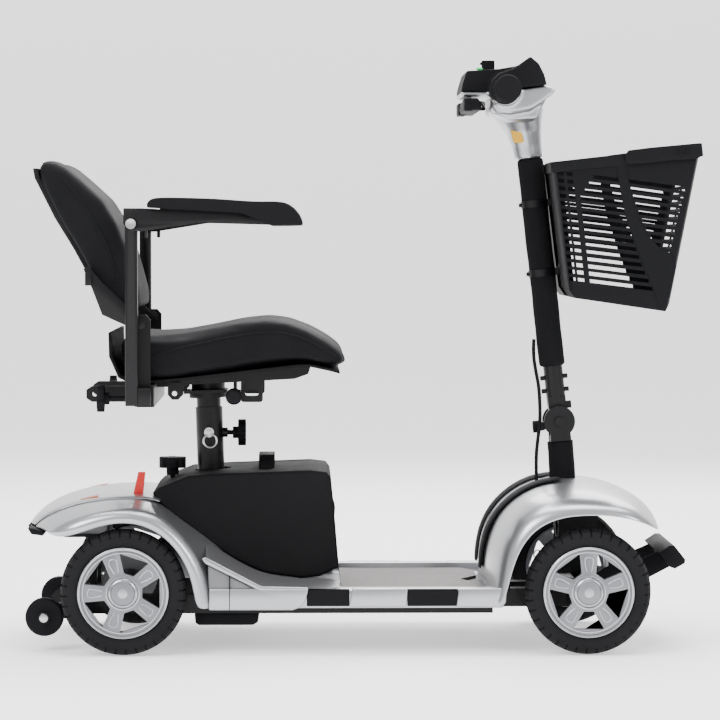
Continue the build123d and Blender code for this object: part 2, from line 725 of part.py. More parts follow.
battery_long, battery_wide, battery_tall = 151, 98, 95
with BuildPart() as battery_cells:
    for cell_side in (-1, 1):
        with Locations((-140, cell_side * (battery_wide / 2 + 4), 155 + battery_tall / 2)):
            Box(battery_long, battery_wide, battery_tall)
    # packing block that fills the floor of the box under both batteries
    with BuildSketch(side_plane(0)):
        with BuildLine():
            Polyline(*box_outline, close=True)
        make_face()
        offset(amount=-box_wall, kind=Kind.INTERSECTION, mode=Mode.REPLACE)
        with Locations((-140, 155 - 50)):
            Rectangle(battery_long, 100, mode=Mode.INTERSECT)
    extrude(amount=battery_wide + 4, both=True)
keep(battery_cells, "battery_cells")

carry_x, carry_half, carry_height = -165, 62, 22
with BuildPart() as battery_handle:
    with BuildSketch(Plane.YZ.offset(carry_x - 13)):
        Polygon(
            (-carry_half, 286), (-carry_half + 16, 289 + carry_height), (carry_half - 16, 289 + carry_height),
            (carry_half, 286), (carry_half - 9, 286), (carry_half - 20, 289 + carry_height - 6),
            (-carry_half + 20, 289 + carry_height - 6), (-carry_half + 9, 286), align=None,
        )
    extrude(amount=26)
with BuildPart() as box_with_handle:
    add(battery_box.part)
    add(battery_handle.part)
keep(box_with_handle, "battery_box")

# === Drive ========================================================================
motor_y, motor_z, motor_radius, motor_long = 75, 128, 34, 100
motor_rear_x = rear_axle_x + 45
with BuildPart() as transaxle:
    with Locations(Location((rear_axle_x, 0, tyre_radius), (90, 0, 0))):
        Cylinder(44, 90)
        Cylinder(axle_tube_radius, 2 * (track_half - 35))
    with Locations(((rear_axle_x + motor_rear_x) / 2 + 10, motor_y / 2 + 10, motor_z)):
        Box(motor_rear_x - rear_axle_x - 20, motor_y + 40, 50)
    with Locations(Location((rear_axle_x, 0, tyre_radius), (90, 0, 0))):
        with Locations((0, 0, track_half / 2), (0, 0, -track_half / 2)):
            Cylinder(shaft_radius + running_gap, track_half - 48, mode=Mode.SUBTRACT)
keep(transaxle, "transaxle")

with BuildPart() as drive_motor:
    with BuildSketch(Plane.YZ.offset(motor_rear_x)):
        with Locations((motor_y, motor_z)):
            Circle(motor_radius)
    extrude(amount=motor_long)
keep(drive_motor, "drive_motor")

with BuildPart() as controller:
    with Locations((tail_cross_x - 10, 0, tray_z + 4 + 15)):
        Box(72, 120, 30)
    fillet(controller.edges().filter_by(Axis.Z), 6)
keep(controller, "motor_controller")

# === Rear cowl ====================================================================
tail_top = (
    (-556, 197), (-550, 207), (-541, 215), (-514, 227), (-490, 235), (-458, 243), (-427, 250), (-396, 253),
    (-353, 253),
)
tail_under = (
    (-353, 249), (-396, 249), (-427, 246), (-459, 239), (-491, 231), (-515, 223), (-536, 211), (-546, 203),
    (-550, 194), (-556, 190),
)


def arches(axle_x, start, sweep, crest, lip, inner):
    """Flared bands turned round an axle, one over each of its wheels."""
    turned = radians(start)
    flare_plane = Plane(
        origin=(axle_x, 0, tyre_radius), x_dir=(cos(turned), 0, sin(turned)), z_dir=(-sin(turned), 0, cos(turned))
    )
    with BuildPart() as bands:
        for flare in (-1, 1):
            with BuildSketch(flare_plane):
                Polygon(
                    (crest + 4, flare * inner), (crest, flare * (fender_out - 14)), (lip + 1, flare * fender_out),
                    (lip, flare * (fender_out - 4)), (crest - panel, flare * (fender_out - 18)),
                    (crest, flare * inner), align=None,
                )
            revolve(axis=Axis((axle_x, 0, tyre_radius), (0, -1, 0)), revolution_arc=sweep)
            with Locations((0, flare * rail_y, rail_bottom + rail_height / 2)):
                Box(4 * wheelbase, rail_width + 2 * rest_gap, rail_height + 2 * rest_gap, mode=Mode.SUBTRACT)
    return bands.part


rear_arches = arches(rear_axle_x, -11, 148, rear_crest_radius, rear_arch_radius, tail_half)
front_arches = arches(front_axle_x, 46, 145, front_crest_radius, front_arch_radius, hood_half)

lever_x, lever_y, lever_slot = -379, -120, 5
with BuildPart() as rear_cowl:
    with BuildSketch(side_plane(0)):
        Polygon(*tail_top, *tail_under, align=None)
    extrude(amount=tail_half, both=True)
    # side walls of the tail, between the top and the flares
    for rail_side in (-1, 1):
        with BuildSketch(side_plane(rail_side * (tail_half - panel / 2))):
            Polygon(*tail_top, (-353, 225), (-440, 232), (-497, 192), (-530, 191), (-556, 190), align=None)
        extrude(amount=panel / 2, both=True)
    with Locations((-553, 0, 191)):
        Box(6, 2 * tail_half, 8)
    add(rear_arches)
    # slot for the freewheel lever, with an ear on each side of it
    with Locations((lever_x - 6, lever_y, 250)):
        Box(46, 2 * lever_slot, 40, mode=Mode.SUBTRACT)
    for ear in (-1, 1):
        with Locations((lever_x, lever_y + ear * (lever_slot + 2), 241)):
            Box(16, 4, 18)
    with Locations(Location((lever_x, lever_y, 240), (90, 0, 0))):
        Cylinder(3, 2 * lever_slot + 6)
keep(rear_cowl, "rear_cowl")

with BuildPart() as freewheel_lever:
    with BuildSketch(side_plane(lever_y)):
        with BuildLine():
            Polyline((-384, 246), (-375, 288), (-363, 288), (-368, 240))
            RadiusArc((-368, 240), (-384, 246), -9)
        make_face()
        with Locations((lever_x, 240)):
            Circle(9)
            Circle(3 + running_gap, mode=Mode.SUBTRACT)
    extrude(amount=lever_slot - 1, both=True)
keep(freewheel_lever, "freewheel_lever")

# === Front cowl ===================================================================
nose_top = (
    (189, 127), (192, 152), (198, 183), (206, 203), (218, 224), (242, 246), (268, 261), (294, 269), (330, 272),
    (359, 271), (399, 265), (425, 256), (450, 243), (470, 227), (482, 211), (484, 203),
)
nose_under = (
    (480, 203), (478, 210), (467, 223), (447, 239), (423, 252), (398, 261), (358, 267), (330, 268), (295, 265),
    (270, 257), (245, 243), (221, 221), (210, 201), (202, 182), (196, 151), (193, 127),
)
pan_end = pan_front_x - front_datum
nose_end = nose_rail_front - front_datum
with BuildPart() as front_cowl:
    with BuildSketch(front_plane(0)):
        Polygon(*nose_top, *nose_under, align=None)
    extrude(amount=hood_half, both=True)
    for rail_side in (-1, 1):
        # inner wall of the wheel well, open for the axle beam and the tie rods
        with BuildSketch(front_plane(rail_side * (hood_half - panel / 2))):
            Polygon(
                *nose_top, (460, 200), (440, 160), (400, 160), (400, 150), (285, 150), (285, 84),
                (pan_end + 1, 84), (pan_end + 1, pan_rim_top + rest_gap), (205, pan_rim_top + rest_gap),
                align=None,
            )
        extrude(amount=panel / 2, both=True)
    with Locations((front_datum + 191, 0, 130)):
        Box(6, 2 * hood_half, 8)
    with Locations((front_datum + 198, 0, 124)):
        Box(14, 2 * hood_half, 5)
    add(front_arches)
    # the flares stop where the floor pan begins
    with Locations((pan_front_x - 60 + rest_gap, 0, (50 + pan_rim_top + rest_gap) / 2)):
        Box(120, 2 * (pan_half + rest_gap), pan_rim_top + rest_gap - 50, mode=Mode.SUBTRACT)
    # hole for the column and its sleeve, and one for the cable
    with BuildSketch(steer.offset(140)):
        with Locations((-column_back, 0)):
            Circle(sleeve_radius + 1.5)
    extrude(amount=60, mode=Mode.SUBTRACT)
    with Locations((lower_route[-1][0], lower_route[-1][1], 265)):
        Cylinder(cable_radius + 1, 30, mode=Mode.SUBTRACT)
keep(front_cowl, "front_cowl")

grip_inner, grip_outer, grip_thick = 36, 88, 2.5
slope = nose_top[1:9]
outward = [
    Vector(before[1] - after[1], after[0] - before[0]).normalized() * grip_thick
    for before, after in zip(slope, slope[2:])
]
raised = [(x + out.X, z + out.Y) for (x, z), out in zip(slope[1:], outward)]
with BuildPart() as cowl_grips:
    # two rubber strips down the slope that faces the rider's feet
    for strip_side in (-1, 1):
        with BuildSketch(front_plane(strip_side * (grip_inner + grip_outer) / 2)):
            Polygon(*slope[1:-1], *reversed(raised), align=None)
        extrude(amount=(grip_outer - grip_inner) / 2, both=True)
keep(cowl_grips, "cowl_grips")

bumper_half, bumper_arm_y = 118, 72
with BuildPart() as front_bumper:
    with BuildSketch(front_plane(0)):
        Polygon((481, 153), (499, 165), (507, 165), (525, 142), (524, 136), (508, 127), (501, 129), align=None)
    extrude(amount=bumper_half, both=True)
    for rail_side in (-1, 1):
        with BuildSketch(front_plane(rail_side * bumper_arm_y)):
            Polygon(
                (nose_end - 40, rail_bottom + 4), (nose_end - 40, rail_top - 2),
                (nose_end + 2, rail_top - 2), (456, 139), (486, 152), (505, 127), (467, 107),
                (nose_end + 20, rail_bottom + 4), align=None,
            )
        extrude(amount=2, both=True)
keep(front_bumper, "front_bumper")

# === Anti-tip wheels ==============================================================
for side_name, side in sides.items():
    with BuildPart() as tip_wheel:
        with BuildSketch(side_plane(side * tip_y)):
            with Locations((tip_x, tip_z)):
                Circle(tip_radius)
                Circle(tip_shaft + running_gap, mode=Mode.SUBTRACT)
        extrude(amount=tip_wide / 2, both=True)
        fillet(tip_wheel.edges().filter_by(GeomType.CIRCLE).sort_by(SortBy.RADIUS)[-2:], 4)
    keep(tip_wheel, f"anti_tip_wheel_{side_name}")

# === Knobs and the quick pin ======================================================


def star_knob(frame, shaft, shaft_length, radius, height, lobes):
    """A lobed knob on a screw that starts at the frame's origin."""
    with BuildPart() as knob:
        with BuildSketch(frame):
            Circle(shaft)
        extrude(amount=shaft_length)
        with BuildSketch(frame.offset(shaft_length)):
            Circle(radius * 0.45)
        extrude(amount=height * 0.5)
        with BuildSketch(frame.offset(shaft_length + height * 0.4)):
            Circle(radius)
            with PolarLocations(radius * 1.1, lobes):
                Circle(radius * 0.26, mode=Mode.SUBTRACT)
        extrude(amount=height * 0.6)
    return knob


clamp_frame = Plane(origin=(post_top_x + post_radius + 2, 0, 346), x_dir=(0, 1, 0), z_dir=(1, 0, 0))
keep(star_knob(clamp_frame, bolt_radius, 18, 22, 22, 6), "seat_clamp_knob")

keep(star_knob(Plane(origin=(lock_x, 0, 258)), bolt_radius, 17, 23, 30, 6), "frame_lock_knob")

with BuildPart() as seat_post_pin:
    # pin through the post, its head and the ring that pulls it
    with Locations(Location((post_pin_point[0], -20, post_pin_point[2]), (90, 0, 0))):
        Cylinder(pin_radius, 58)
    with Locations(Location((post_pin_point[0], -post_outer_radius - 12, post_pin_point[2]), (90, 0, 0))):
        Cylinder(8, 10)
    with Locations(Location((post_pin_point[0] + 2, -43, post_pin_point[2] - 14), (90, 0, 0))):
        Torus(11, 1.6)
keep(seat_post_pin, "seat_post_pin")

# === Seat =========================================================================
with BuildPart() as seat_post:
    with BuildSketch(post.offset(-post_depth)):
        Circle(post_radius)
    extrude(amount=post_depth + post_rise)
    with BuildSketch(post.offset(post_rise)):
        Circle(flange_radius)
    extrude(amount=flange_height)
    # slot that the pin runs in, so the post rises but can't turn
    with BuildSketch(Plane(origin=post_pin_point, x_dir=(sin(post_lean), 0, -cos(post_lean)), z_dir=(0, 1, 0))):
        SlotCenterPoint((seat_rise / 2, 0), (seat_rise + 1, 0), 2 * (pin_radius + 0.4))
    extrude(amount=post_radius + 1, both=True, mode=Mode.SUBTRACT)
keep(seat_post, "seat_post")

turn_top = post_rise + flange_height + 0.4
lever_ball_x, lever_ball_z, lever_eye_y = -217, 414, -45
tab_hole_x, tab_hole_z, tab_hole_radius, tab_plate, tab_y = -447, 415, 4, 4, 95
hinge_plate_y = seat_half + 7
with BuildPart() as seat_frame:
    with BuildSketch(post.offset(turn_top)):
        Circle(28)
    extrude(amount=24)
    with BuildSketch(post.offset(turn_top)):
        with Locations((-4, 0)):
            Rectangle(72, 84)
    extrude(amount=5)
    with BuildSketch(side_plane(0)):
        Polygon((-302, 432), (-118, 442), (-96, 450), (-92, 463), (-110, 463), (-302, 441), align=None)
    extrude(amount=155, both=True)
    # cross tube that takes the armrests, joined to the plate by two straps
    with Locations((arm_x, 0, arm_tube_z)):
        Box(arm_tube + 8, 2 * (seat_half + 5), arm_tube_height + 8)
        Box(arm_tube + 0.6, 2 * (seat_half + 6), arm_tube_height + 0.6, mode=Mode.SUBTRACT)
    for strap_side in (-1, 1):
        with Locations(((arm_x + 10 - 296) / 2, strap_side * 70, 430)):
            Box(60, 40, 8)
        # accessory tab behind the cross tube, with a hole through it
        with BuildSketch(side_plane(strap_side * tab_y)):
            with BuildLine():
                Polyline(
                    (arm_x - 13, 402), (-452, 402), (-461, 408), (-461, 422), (-452, 428), (arm_x - 13, 428), close=True
                )
            make_face()
            with Locations((tab_hole_x, tab_hole_z)):
                Circle(tab_hole_radius, mode=Mode.SUBTRACT)
        extrude(amount=tab_plate / 2, both=True)
        # plate that carries the pin of the backrest
        with BuildSketch(side_plane(strap_side * hinge_plate_y)):
            with BuildLine():
                Polyline(
                    (-376, 400), (-376, 420), (-386, 440), (-386, 540), (-377, 548), (-357, 548), (-350, 540),
                    (-350, 400), close=True,
                )
            make_face()
            with Locations((hinge_x, hinge_z)):
                Circle(5 + running_gap, mode=Mode.SUBTRACT)
        extrude(amount=2, both=True)
        # tabs under the seat plate: a hole at the back, a slot towards the front
        with BuildSketch(side_plane(strap_side * 150)):
            with BuildLine():
                Polyline((-325, 436), (-325, 416), (-318, 408), (-308, 408), (-300, 416), (-298, 436), close=True)
            make_face()
            with Locations((-314, 418)):
                Circle(tab_hole_radius, mode=Mode.SUBTRACT)
        extrude(amount=2, both=True)
        with BuildSketch(side_plane(strap_side * 150)):
            with Locations((-188, 422)):
                RectangleRounded(36, 36, 5)
            with Locations((-188, 419)):
                SlotOverall(22, 9, mode=Mode.SUBTRACT)
        extrude(amount=2, both=True)
    with BuildSketch(side_plane(0)):
        with Locations((arm_x, arm_tube_z)):
            Rectangle(arm_tube + 0.6, arm_tube_height + 0.6)
    extrude(amount=seat_half + 20, both=True, mode=Mode.SUBTRACT)
    # pin under the seat plate that carries the swivel lever
    with Locations((lever_ball_x, lever_eye_y, 422)):
        Cylinder(3, 30)
    # screw holes for the two arm knobs
    for strap_side in (-1, 1):
        with Locations(Location((arm_x - 13, strap_side * 185, arm_tube_z - 5), (0, 90, 0))):
            Cylinder(4.2, 12, mode=Mode.SUBTRACT)
keep(seat_frame, "seat_frame")

with BuildPart() as seat_shell:
    # moulded pan that carries the cushion and turns up behind it
    with BuildSketch(side_plane(0)):
        Polygon(
            (-419, 519), (-418, 480), (-403, 446), (-386, 437.5), (-349, 437), (-302, 441), (-110, 463), (-92, 463),
            (-60, 456), (-45, 452), (-45, 456), (-60, 460), (-92, 467), (-110, 467), (-265, 449.5), (-302, 445),
            (-349, 441.5), (-384, 441.5), (-399, 449), (-413, 481), (-414, 519), align=None,
        )
    extrude(amount=seat_half - 12, both=True)
keep(seat_shell, "seat_shell")

with BuildPart() as seat_cushion:
    with BuildSketch(side_plane(0)):
        Polygon(
            (-408, 481), (-397, 452), (-384, 442.5), (-349, 442.5), (-302, 446), (-265, 450.5), (-110, 468.5),
            (-92, 468.5), (-60, 461.5), (-40, 457), (-29, 461), (-27, 472), (-36, 486), (-56, 505), (-84, 521),
            (-113, 533), (-141, 539), (-169, 539), (-198, 536), (-240, 527), (-297, 517), (-340, 513),
            (-385, 515), (-407, 517), align=None,
        )
    extrude(amount=seat_half, both=True)
keep(seat_cushion, "seat_cushion")

back_outline_rear = ((-430, 548), (-444, 590), (-458, 622), (-476, 655), (-506, 704), (-538, 768), (-541, 784))
with BuildPart() as back_frame:
    # curved back panel with an arm down each side to the hinge
    with BuildSketch(side_plane(0)):
        Polygon(
            *back_outline_rear, (-533, 784), (-530, 769), (-498, 706), (-468, 657), (-450, 624), (-436, 591),
            (-422, 548), align=None,
        )
    extrude(amount=back_half - 25, both=True)
    for arm_side in (-1, 1):
        with BuildSketch(side_plane(arm_side * (seat_half + 1.5))):
            with BuildLine():
                Polyline(
                    (-356, 532), (-365, 523), (-380, 526), (-428, 548), (-444, 590), (-458, 622), (-450, 626),
                    (-428, 600), (-392, 566), close=True,
                )
            make_face()
            with Locations((hinge_x, hinge_z)):
                Circle(11)
        extrude(amount=2.2, both=True)
        with Locations(Location((hinge_x, arm_side * (seat_half + 6), hinge_z), (90, 0, 0))):
            Cylinder(5, 10)
        with Locations(Location((hinge_x, arm_side * (seat_half + 11.7), hinge_z), (90, 0, 0))):
            Cylinder(9, 4)
        # cross strap from the arm to the panel
        with Locations((-450, arm_side * (back_half - 5), 606)):
            Box(10, 40, 22)
keep(back_frame, "back_frame")

with BuildPart() as back_cushion:
    with BuildSketch(side_plane(0)):
        Polygon(
            (-418, 560), (-424, 574), (-433, 590), (-447, 623), (-465, 656), (-495, 705), (-526, 768), (-528, 798),
            (-515, 804), (-497, 796), (-470, 774), (-434, 740), (-407, 697), (-390, 655), (-376, 610), (-366, 575),
            (-362, 552), (-372, 546), (-400, 550), align=None,
        )
    extrude(amount=back_half, both=True)
keep(back_cushion, "back_cushion")

# === Armrests =====================================================================
leg_inner = 120
for side_name, side in sides.items():
    with BuildPart() as arm_post:
        # leg that slides in the cross tube, with the upright welded behind it
        with Locations((arm_x, side * (leg_inner + arm_out + 2) / 2, arm_tube_z)):
            Box(arm_tube, arm_out + 2 - leg_inner, arm_tube_height)
        with BuildSketch(Plane.XY.offset(arm_tube_z - arm_tube_height / 2)):
            with Locations((arm_x - arm_tube / 2 - arm_post_width / 2, side * arm_out)):
                RectangleRounded(arm_post_width, arm_post_width, 3)
        extrude(amount=arm_pivot_z - arm_tube_z + arm_tube_height / 2 + 12)
        with Locations(Location((arm_x - arm_tube / 2 - arm_post_width / 2, side * arm_out, arm_pivot_z), (90, 0, 0))):
            Cylinder(5, arm_post_width + 12)
            with Locations((0, 0, arm_post_width / 2 + 6), (0, 0, -arm_post_width / 2 - 6)):
                Cylinder(8, 4)
    keep(arm_post, f"armrest_post_{side_name}")

    pivot_x = arm_x - arm_tube / 2 - arm_post_width / 2
    with BuildPart() as arm_bracket:
        for cheek in (-1, 1):
            with BuildSketch(side_plane(side * arm_out + cheek * (arm_post_width / 2 + 2))):
                with BuildLine():
                    Polyline(
                        (-391, 719), (-362, 719), (-165, 708), (-161, 694), (-269, 697), (-341, 685), (-362, 682),
                        (-380, 682), (-391, 694), close=True,
                    )
                make_face()
                with Locations((pivot_x, arm_pivot_z)):
                    Circle(5 + running_gap, mode=Mode.SUBTRACT)
            extrude(amount=1.5, both=True)
        with BuildSketch(side_plane(side * arm_out)):
            Polygon((-391, 715.5), (-391, 719), (-362, 719), (-165, 708), (-165, 704.5), (-362, 715.5), align=None)
        extrude(amount=arm_post_width / 2 + 3.5, both=True)
        # screw that sets the height of the pad
        with Locations((-356, side * arm_out, 695)):
            Cylinder(3, 46)
            Cylinder(5.5, 5, align=(Align.CENTER, Align.CENTER, Align.MIN))
    keep(arm_bracket, f"armrest_bracket_{side_name}")

    with BuildPart() as arm_pad:
        with BuildSketch(side_plane(side * arm_out)):
            Polygon(
                (-354, 719), (-354, 733), (-349, 737), (-269, 732), (-165, 728), (-150, 730), (-134, 728),
                (-116, 719), (-106, 708), (-106, 697), (-113, 691), (-128, 695), (-160, 708.2),
                align=None,
            )
        extrude(amount=pad_width / 2, both=True)
    keep(arm_pad, f"armrest_pad_{side_name}")

    knob_frame = Plane(origin=(arm_x - 11, side * 185, arm_tube_z - 5), x_dir=(0, 1, 0), z_dir=(-1, 0, 0))
    keep(star_knob(knob_frame, bolt_radius, 48, 22, 20, 6), f"armrest_knob_{side_name}")

with BuildPart() as swivel_lever:
    with Locations(Location((lever_ball_x, -108, lever_ball_z), (90, 0, 0))):
        Cylinder(5, 118)
    with Locations(Location((lever_ball_x, -170, lever_ball_z), (90, 0, 0))):
        Cylinder(13.5, 22)
    fillet(swivel_lever.edges().filter_by(GeomType.CIRCLE).sort_by(Axis.Y)[:1], 8)
    with Locations((lever_ball_x, lever_eye_y, lever_ball_z)):
        Cylinder(9, 11)
        Cylinder(3 + running_gap, 12, mode=Mode.SUBTRACT)
keep(swivel_lever, "swivel_lever")
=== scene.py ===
import bpy, math, json
from mathutils import Matrix, Vector

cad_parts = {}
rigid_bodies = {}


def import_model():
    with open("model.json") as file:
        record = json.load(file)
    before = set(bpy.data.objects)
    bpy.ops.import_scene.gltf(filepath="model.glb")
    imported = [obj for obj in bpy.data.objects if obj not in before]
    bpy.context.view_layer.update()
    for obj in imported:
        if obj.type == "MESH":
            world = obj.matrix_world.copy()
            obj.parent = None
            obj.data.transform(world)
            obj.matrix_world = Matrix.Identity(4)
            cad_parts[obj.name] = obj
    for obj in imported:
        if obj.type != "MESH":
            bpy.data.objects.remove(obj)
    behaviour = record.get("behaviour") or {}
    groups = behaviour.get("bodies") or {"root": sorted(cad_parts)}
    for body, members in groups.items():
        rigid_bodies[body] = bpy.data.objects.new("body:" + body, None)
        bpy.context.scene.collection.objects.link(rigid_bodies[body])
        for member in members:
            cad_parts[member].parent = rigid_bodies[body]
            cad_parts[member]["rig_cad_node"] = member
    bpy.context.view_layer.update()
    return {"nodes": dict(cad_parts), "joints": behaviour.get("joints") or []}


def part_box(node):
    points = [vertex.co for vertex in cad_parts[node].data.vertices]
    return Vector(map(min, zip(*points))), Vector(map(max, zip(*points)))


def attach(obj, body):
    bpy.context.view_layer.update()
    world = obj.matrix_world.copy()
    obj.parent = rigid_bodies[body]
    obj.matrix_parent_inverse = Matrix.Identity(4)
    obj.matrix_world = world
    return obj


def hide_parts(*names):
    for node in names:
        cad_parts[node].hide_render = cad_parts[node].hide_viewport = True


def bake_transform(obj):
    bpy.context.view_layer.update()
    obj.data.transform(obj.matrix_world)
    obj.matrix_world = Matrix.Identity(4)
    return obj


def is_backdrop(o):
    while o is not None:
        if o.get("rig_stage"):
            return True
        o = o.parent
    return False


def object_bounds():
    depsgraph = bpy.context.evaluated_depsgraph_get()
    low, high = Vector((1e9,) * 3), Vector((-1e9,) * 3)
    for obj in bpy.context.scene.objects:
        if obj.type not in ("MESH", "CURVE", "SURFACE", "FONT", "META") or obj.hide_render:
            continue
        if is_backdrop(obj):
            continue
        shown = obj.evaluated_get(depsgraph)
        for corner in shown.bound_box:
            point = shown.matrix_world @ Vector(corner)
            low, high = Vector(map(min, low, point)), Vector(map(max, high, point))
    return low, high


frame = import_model()
joints = {joint["name"]: joint for joint in frame["joints"]}
sides = {"right": -1, "left": 1}

# places that every piece shares
hinge = Vector(joints["tiller_fold"]["pos_m"])
tillerUp = Vector(joints["throttle"]["axis"])
columnUp = Vector(joints["steering"]["axis"])
tillerPlace = Matrix.Translation(hinge) @ Vector((0, 0, 1)).rotation_difference(tillerUp).to_matrix().to_4x4()
columnPlace = Matrix.Translation(hinge) @ Vector((0, 0, 1)).rotation_difference(columnUp).to_matrix().to_4x4()
mm = 0.001  # outlines are given in millimetres


def spot(x, y, z):
    return Vector((x * mm, y * mm, z * mm))


def deselectAll():
    for thing in bpy.context.selected_objects:
        thing.select_set(False)


def workOn(piece):
    deselectAll()
    piece.select_set(True)
    bpy.context.view_layer.objects.active = piece


def begin(name):
    piece = bpy.context.object
    piece.name = name
    piece.data.name = name
    return piece


def settle(piece):
    # the object goes back to the origin and keeps its place in its mesh
    workOn(piece)
    bpy.ops.object.transform_apply(location=True, rotation=True, scale=True)


def moveMesh(piece, place):
    piece.data.transform(place)
    piece.data.update()


def enterEdit():
    # edit mode with the whole mesh selected
    bpy.ops.object.mode_set(mode="EDIT")
    bpy.ops.mesh.select_all(action="SELECT")


def leaveEdit():
    bpy.ops.object.mode_set(mode="OBJECT")


def startPick(piece, kind):
    workOn(piece)
    bpy.ops.object.mode_set(mode="EDIT")
    bpy.ops.mesh.select_mode(type=kind)
    bpy.ops.mesh.select_all(action="DESELECT")
    leaveEdit()


def pickFaces(piece, test):
    # leaves edit mode on with the faces that pass the test selected
    startPick(piece, "FACE")
    for face in piece.data.polygons:
        face.select = bool(test(face))
    bpy.ops.object.mode_set(mode="EDIT")


def pickEdges(piece, test):
    startPick(piece, "EDGE")
    points = piece.data.vertices
    for edge in piece.data.edges:
        edge.select = bool(test(points[edge.vertices[0]].co, points[edge.vertices[1]].co))
    bpy.ops.object.mode_set(mode="EDIT")


def modify(piece, kind, **settings):
    workOn(piece)
    added = piece.modifiers.new(kind.title(), kind)
    for key, value in settings.items():
        setattr(added, key, value)
    bpy.ops.object.modifier_apply(modifier=added.name)


def roundEdges(piece, width, segments=3, angle=30):
    modify(piece, "BEVEL", width=width, segments=segments, limit_method="ANGLE",
           angle_limit=math.radians(angle), harden_normals=False)


def smooth(piece, angle=40):
    workOn(piece)
    bpy.ops.object.shade_smooth_by_angle(angle=math.radians(angle))


def dress(piece, finish, body="chassis"):
    piece.data.materials.clear()
    piece.data.materials.append(finishes[finish])
    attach(piece, body)


def ease(piece, width, segments=2, angle=40):
    roundEdges(piece, width * mm, segments)
    smooth(piece, angle)


def slab(name, outline, nearY, farY):
    # a side outline in millimetres, filled and pulled out along Y
    deselectAll()
    bpy.ops.mesh.primitive_circle_add(vertices=len(outline), radius=0.1, fill_type="NGON")
    piece = begin(name)
    for vertex, (x, z) in zip(piece.data.vertices, outline):
        vertex.co = spot(x, nearY, z)
    enterEdit()
    bpy.ops.mesh.extrude_region_move(TRANSFORM_OT_translate={"value": (0, (farY - nearY) * mm, 0)})
    bpy.ops.mesh.select_all(action="SELECT")
    bpy.ops.mesh.normals_make_consistent(inside=False)
    leaveEdit()
    return piece


def skin(name, rows, thickness, outward, levels=2):
    # a sheet whose corners are given row by row in millimetres, thickened inwards
    deselectAll()
    wide, tall = len(rows[0]), len(rows)
    bpy.ops.mesh.primitive_grid_add(x_subdivisions=wide - 1, y_subdivisions=tall - 1, size=0.1)
    piece = begin(name)
    for vertex, place in zip(piece.data.vertices, [place for row in rows for place in row]):
        vertex.co = spot(*place)
    piece.data.update()
    facing = sum((face.normal.dot(Vector(outward)) * face.area for face in piece.data.polygons))
    if facing < 0:
        enterEdit()
        bpy.ops.mesh.flip_normals()
        leaveEdit()
    if thickness:
        modify(piece, "SOLIDIFY", thickness=thickness * mm, offset=-1)
    if levels:
        modify(piece, "SUBSURF", levels=levels, render_levels=levels)
    return piece


def drawLine(name, points, resolution):
    curve = bpy.data.curves.new(name, "CURVE")
    curve.dimensions = "3D"
    spline = curve.splines.new("NURBS")
    spline.points.add(len(points) - 1)
    for knot, place in zip(spline.points, points):
        knot.co = (*place, 1)
    spline.order_u = 3
    spline.use_endpoint_u = True
    spline.resolution_u = resolution
    line = bpy.data.objects.new(name, curve)
    bpy.context.collection.objects.link(line)
    return line


def thicken(line, radius, rings):
    line.data.bevel_depth = radius
    line.data.bevel_resolution = rings
    line.data.use_fill_caps = True
    workOn(line)
    bpy.ops.object.convert(target="MESH")
    return bpy.context.object


def pipe(name, points, radius, resolution=8):
    # a round bar through the points, turned into a mesh
    return thicken(drawLine(name, points, resolution), radius, 3)


def join(name, pieces):
    workOn(pieces[0])
    for piece in pieces[1:]:
        piece.select_set(True)
    bpy.ops.object.join()
    pieces[0].name = name
    return pieces[0]


def copyPiece(piece, name):
    twin = piece.copy()
    twin.data = piece.data.copy()
    twin.name = name
    bpy.context.collection.objects.link(twin)
    return twin


def flipAcross(piece):
    moveMesh(piece, Matrix.Scale(-1, 4, (0, 1, 0)))
    piece.data.flip_normals()


def softened(node, name, width, segments=2, angle=35):
    # a CAD node's own shape with its edges rounded over
    twin = copyPiece(frame["nodes"][node], name)
    twin.parent = None
    del twin["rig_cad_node"]
    twin.matrix_world = Matrix()
    workOn(twin)
    enterEdit()
    bpy.ops.mesh.remove_doubles(threshold=0.00002)
    bpy.ops.mesh.dissolve_limited(angle_limit=math.radians(1.5))
    leaveEdit()
    roundEdges(twin, width, segments, angle)
    smooth(twin, 40)
    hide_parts(node)
    return twin


# finishes
class Reading:
    # a socket that can be used in sums
    def __init__(self, finish, socket):
        self.finish = finish
        self.socket = socket

    def sum(self, operation, first, second):
        made = self.finish.node("ShaderNodeMath", {"operation": operation}, {0: first, 1: second})
        return Reading(self.finish, made.outputs[0])

    def __add__(self, other):
        return self.sum("ADD", self, other)

    def __radd__(self, other):
        return self.sum("ADD", other, self)

    def __sub__(self, other):
        return self.sum("SUBTRACT", self, other)

    def __rsub__(self, other):
        return self.sum("SUBTRACT", other, self)

    def __mul__(self, other):
        return self.sum("MULTIPLY", self, other)

    def __rmul__(self, other):
        return self.sum("MULTIPLY", other, self)


